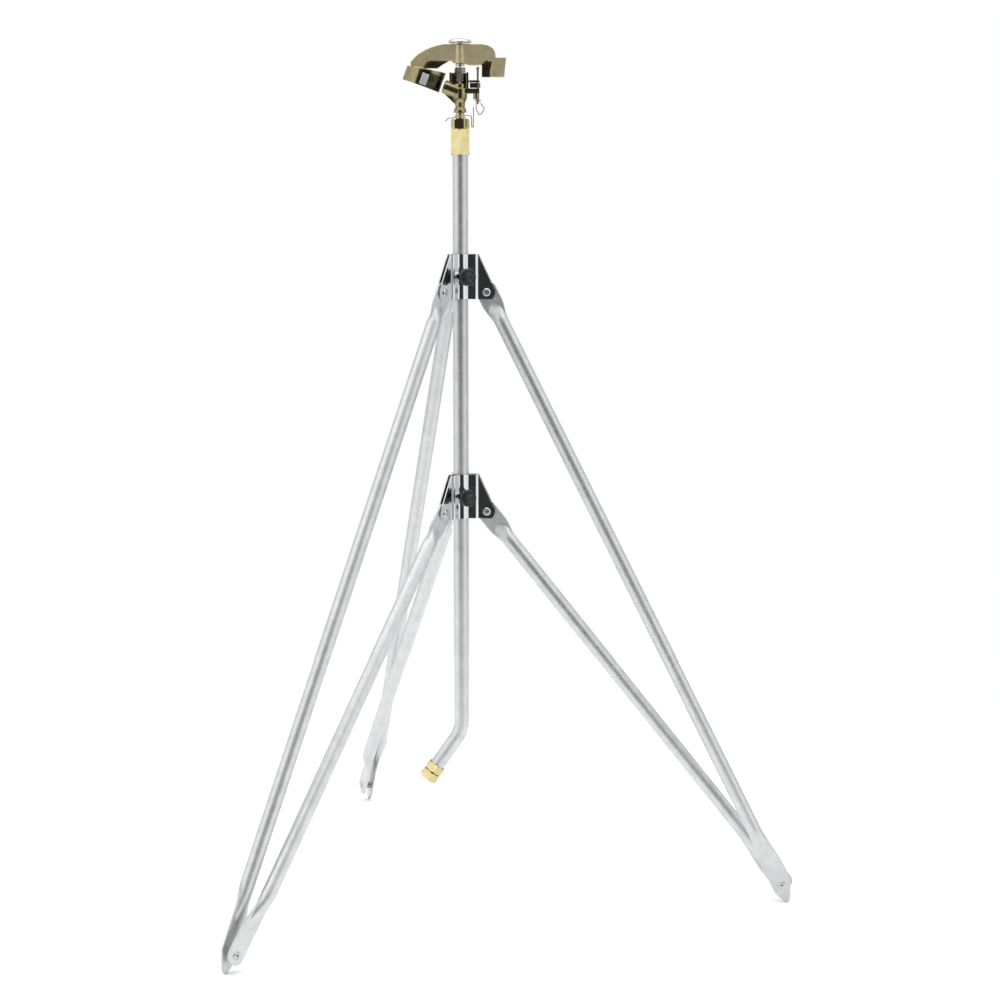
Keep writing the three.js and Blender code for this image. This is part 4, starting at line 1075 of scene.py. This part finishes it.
def paint_shade_below(arm, inside):
    """Puts painted shade on the satin arm: a darker, glossier bronze on the spoon and the far cheeks, and a
    near-black painted deep shade on the spoon band towards its free end.
    """
    arm.data.materials.append(MATERIALS["bronze_cast"])
    arm.data.materials.append(MATERIALS["bronze_deep_shade"])
    # Slot 1 holds the darker, glossier bronze: painted shade.
    shaded_gloss_slot = 1
    # Slot 2 holds the near-black bronze: painted deep shade.
    dark = 2
    near = 0.2
    cheek_top = 1163
    for face in arm.data.polygons:
        centre = FROM_ROW @ face.center
        local = SPOON.inverted() @ centre
        reach = math.hypot(local.x, local.y)
        within_wall = SPOON_R - SPOON_WALL - near < reach < SPOON_R + near
        below_rim = local.z < rim_level(local.x) + FIT
        on_band = within_wall and below_rim and local.y < SPOON_WALL * 3
        # Painted shade in the recess: the inner faces of the far cheeks that face the front, below the cheek
        # top.
        behind = centre.y > inside - 0.6 and centre.z < cheek_top and face.normal.y < -0.5
        # Painted deep shade on the spoon band past the start azimuth, below the drop level.
        deep_shaded = on_band and azimuth_of(local) % 360 > DEEP_SHADE_START and local.z < SPOON_DROP
        if deep_shaded:
            face.material_index = dark
        elif on_band or behind:
            face.material_index = shaded_gloss_slot


def add_arm():
    inside = ARM_HALF_WIDTH - ARM_WALL
    arm = object_of("drive_arm", side_slab(arm_outline(), ARM_HALF_WIDTH))
    cut(arm, side_slab(arm_pocket(), inside))
    bush_boss = rod(10.2, 1160.5, 1185.4, 1.0)
    cheek_outline = [(-50, 1166), (-50, 1153.6), (-31, 1153.6), (-23, 1159), (-16, 1163), (-16, 1166)]
    cheek = side_slab(cheek_outline, (ARM_HALF_WIDTH - inside) / 2)
    nose_cheek = moved(cheek, shift(0, (ARM_HALF_WIDTH + inside) / 2, 0))
    tail_cheek = block(29.5, 43, inside, ARM_HALF_WIDTH, ARM_LOW, 1164)
    for extra in (bush_boss, spoon_roof(), nose_cheek, tail_cheek):
        boolean(arm, extra, "UNION")
    melt(arm, 0.6, 5)
    boolean(arm, spoon_band(), "UNION")
    cut(arm, rod(4.9, 1150, 1190))
    finished(arm, "drive_arm", "drive_arm", "bronze_cast", sharp=50, look="bronze_satin")
    # Painted shade on the spoon and the far cheeks, painted deep shade towards the spoon's free end.
    paint_shade_below(arm, inside)

    facing_outline = sector(SPOON_R - 0.7, SPOON_R + 0.15, FACING_START, FACING_END, 16)
    facing = object_of("spoon_facing", moved(extruded(facing_outline, FACING_LOW, FACING_HIGH), SPOON))
    finished(bevelled(facing, 0.15), "spoon_facing", "drive_arm", "steel", look="steel_satin")

    bush_low = 1158.4
    collar_top = 1159.8
    bush_top = 1186.4
    bush_r = 4.6
    collar_r = 6.4
    add("arm_bush", "drive_arm", "brass", lathe([
        (SHAFT_HOLE_R, bush_low), (collar_r, bush_low), (collar_r, collar_top), (bush_r, collar_top),
        (bush_r, bush_top), (SHAFT_HOLE_R, bush_top), (SHAFT_HOLE_R, bush_low)]))


def add_head_fittings():
    add("arm_shaft", "head", "steel", rod(SHAFT_R, 1127.6, 1188.6, 0.3))
    add("arm_washer", "head", "steel", ring(SHAFT_HOLE_R, 6.6, 1156.4, 1157.6))
    coils = helix(radius=7, low=1134.6, high=1154.6, turns=8.4)
    add("arm_spring", "head", "spring_steel", wire(coils, 0.9, steps=2))
    recess_r = 2.6
    recess_top = 1188.9
    cap_low = 1187.2
    add("shaft_cap", "head", "steel", lathe([
        (0, recess_top), (recess_r, recess_top), (recess_r, cap_low), (15.6, cap_low), (16.2, 1189),
        (14, 1191.6), (8, 1193.2), (0, 1193.6)], 1.0, 96))

    pin_low = 1105.4
    pin_r = 1.4
    head_r = 2.1
    head_low = 1152
    pin = [(0, pin_low), (pin_r, pin_low), (pin_r, head_low), (head_r, head_low), (head_r, 1154.6),
           (0, 1155.4)]
    add("trip_pin", "head", "spring_steel", moved(lathe(pin, 0.3, RIVET_SIDES), TRIP))
    nut = hex_prism(7, 1108, 1111.6, TRIP_HOLE_R, twist=20)
    add("trip_pin_nut", "head", "steel", moved(nut, TRIP))
    lever_low = 1127.2
    lever_high = 1133.8
    hub = moved(rod(3.6, lever_low, lever_high), TRIP)
    tongue = block(13.4, 24, -8, -1, lever_low, lever_high)
    lever = melt(object_of("trip_lever", together(hub, tongue)), 0.3, 4)
    cut(lever, moved(rod(TRIP_HOLE_R, 1120, 1140, sides=HOLE_SIDES), TRIP))
    finished(lever, "trip_lever", "trip_lever", "spring_steel", sharp=50)
    side = -6.4
    loop = [(28.4, 1106.6), (30.2, 1103.4), (33, 1099.8), (30, 1094), (26.6, 1091), (24, 1095), (22, 1100)]
    hook = [(22, -7.6, 1105), (22.6, -10.2, 1110)]
    add("trip_spring", "head", "steel", wire([*[(x, side, z) for x, z in loop], *hook], 0.8))


# ---------------------------------------------------------------- stage, light and camera
def add_stage():
    floor_r = 1500
    floor_low = -2
    floor_top = -0.5
    disc = lathe([(0, floor_low), (floor_r, floor_low), (floor_r, floor_top), (0, floor_top)], 0, 96)
    floor = object_of("floor", disc)
    material = bpy.data.materials.new("floor")
    material.use_nodes = True
    shader = material.node_tree.nodes["Principled BSDF"]
    shader.inputs["Base Color"].default_value = (0.93, 0.93, 0.93, 1)
    shader.inputs["Roughness"].default_value = 0.9
    shader.inputs["Specular IOR Level"].default_value = 0.1
    floor.data.materials.append(material)


def add_light():
    """A white studio: dark in front, a bright panel on each side of that, a bright lid, and dim below."""
    lid_light = 2.3
    world = bpy.data.worlds.new("studio")
    world.use_nodes = True
    bpy.context.scene.world = world
    nodes = world.node_tree.nodes
    links = world.node_tree.links
    background = nodes["Background"]
    where = nodes.new("ShaderNodeTexCoord")
    split = nodes.new("ShaderNodeSeparateXYZ")
    links.new(where.outputs["Generated"], split.inputs["Vector"])
    forward = nodes.new("ShaderNodeMath")
    forward.operation = "MULTIPLY"
    forward.inputs[1].default_value = -1
    links.new(split.outputs["Y"], forward.inputs[0])
    bearing = nodes.new("ShaderNodeMath")
    bearing.operation = "ARCTAN2"
    links.new(split.outputs["X"], bearing.inputs[0])
    links.new(forward.outputs["Value"], bearing.inputs[1])
    half_turn = nodes.new("ShaderNodeMapRange")
    half_turn.inputs["From Min"].default_value = -math.pi
    half_turn.inputs["From Max"].default_value = math.pi
    links.new(bearing.outputs["Value"], half_turn.inputs["Value"])
    ramp = nodes.new("ShaderNodeValToRGB")
    dark = 0.045
    stops = [(-180, 0.9), (-120, 0.85), (-80, 1.25), (-40, 1.5), (-27, dark),
             (29, dark), (42, 1.35), (75, 1.2), (110, 0.7), (180, 0.9)]
    elements = ramp.color_ramp.elements
    while len(elements) < len(stops):
        elements.new(0.5)
    for element, (degrees, strength) in zip(elements, stops):
        element.position = (degrees + 180) / 360
        element.color = (strength, strength, strength, 1)
    links.new(half_turn.outputs["Result"], ramp.inputs["Fac"])
    overhead = nodes.new("ShaderNodeMapRange")
    overhead.inputs["From Min"].default_value = 0.55
    overhead.inputs["From Max"].default_value = 0.95
    links.new(split.outputs["Z"], overhead.inputs["Value"])
    lid = nodes.new("ShaderNodeMix")
    lid.data_type = "RGBA"
    lid.inputs["B"].default_value = (lid_light, lid_light, lid_light, 1)
    links.new(overhead.outputs["Result"], lid.inputs["Factor"])
    links.new(ramp.outputs["Color"], lid.inputs["A"])
    below = nodes.new("ShaderNodeMapRange")
    below.inputs["From Min"].default_value = -0.5
    below.inputs["From Max"].default_value = -0.18
    below.inputs["To Min"].default_value = 0.25
    links.new(split.outputs["Z"], below.inputs["Value"])
    dimmed = nodes.new("ShaderNodeVectorMath")
    dimmed.operation = "SCALE"
    links.new(lid.outputs["Result"], dimmed.inputs[0])
    links.new(below.outputs["Result"], dimmed.inputs["Scale"])
    path = nodes.new("ShaderNodeLightPath")
    seen = nodes.new("ShaderNodeMix")
    seen.data_type = "RGBA"
    seen.inputs["B"].default_value = (1, 1, 1, 1)
    links.new(path.outputs["Is Camera Ray"], seen.inputs["Factor"])
    links.new(dimmed.outputs["Vector"], seen.inputs["A"])
    links.new(seen.outputs["Result"], background.inputs["Color"])


def add_camera():
    """A camera in front of the stand, tipped down a little."""
    lens = 78.66
    tip_down = 8.52
    data = bpy.data.cameras.new("camera")
    data.sensor_width = 36
    data.lens = lens
    camera = bpy.data.objects.new("camera", data)
    bpy.context.scene.collection.objects.link(camera)
    camera.location = TO_ROW @ Vector((54.5, -3031, 1013))
    camera.rotation_euler = (math.radians(90 - tip_down), 0, 0)
    bpy.context.scene.camera = camera
    bpy.context.scene.view_settings.view_transform = "Standard"


add_camera()
add_light()
add_stage()
add_legs()
add_hub("upper")
add_hub("lower")
add_riser()
add_bearing()
add_body()
add_arm()
add_head_fittings()
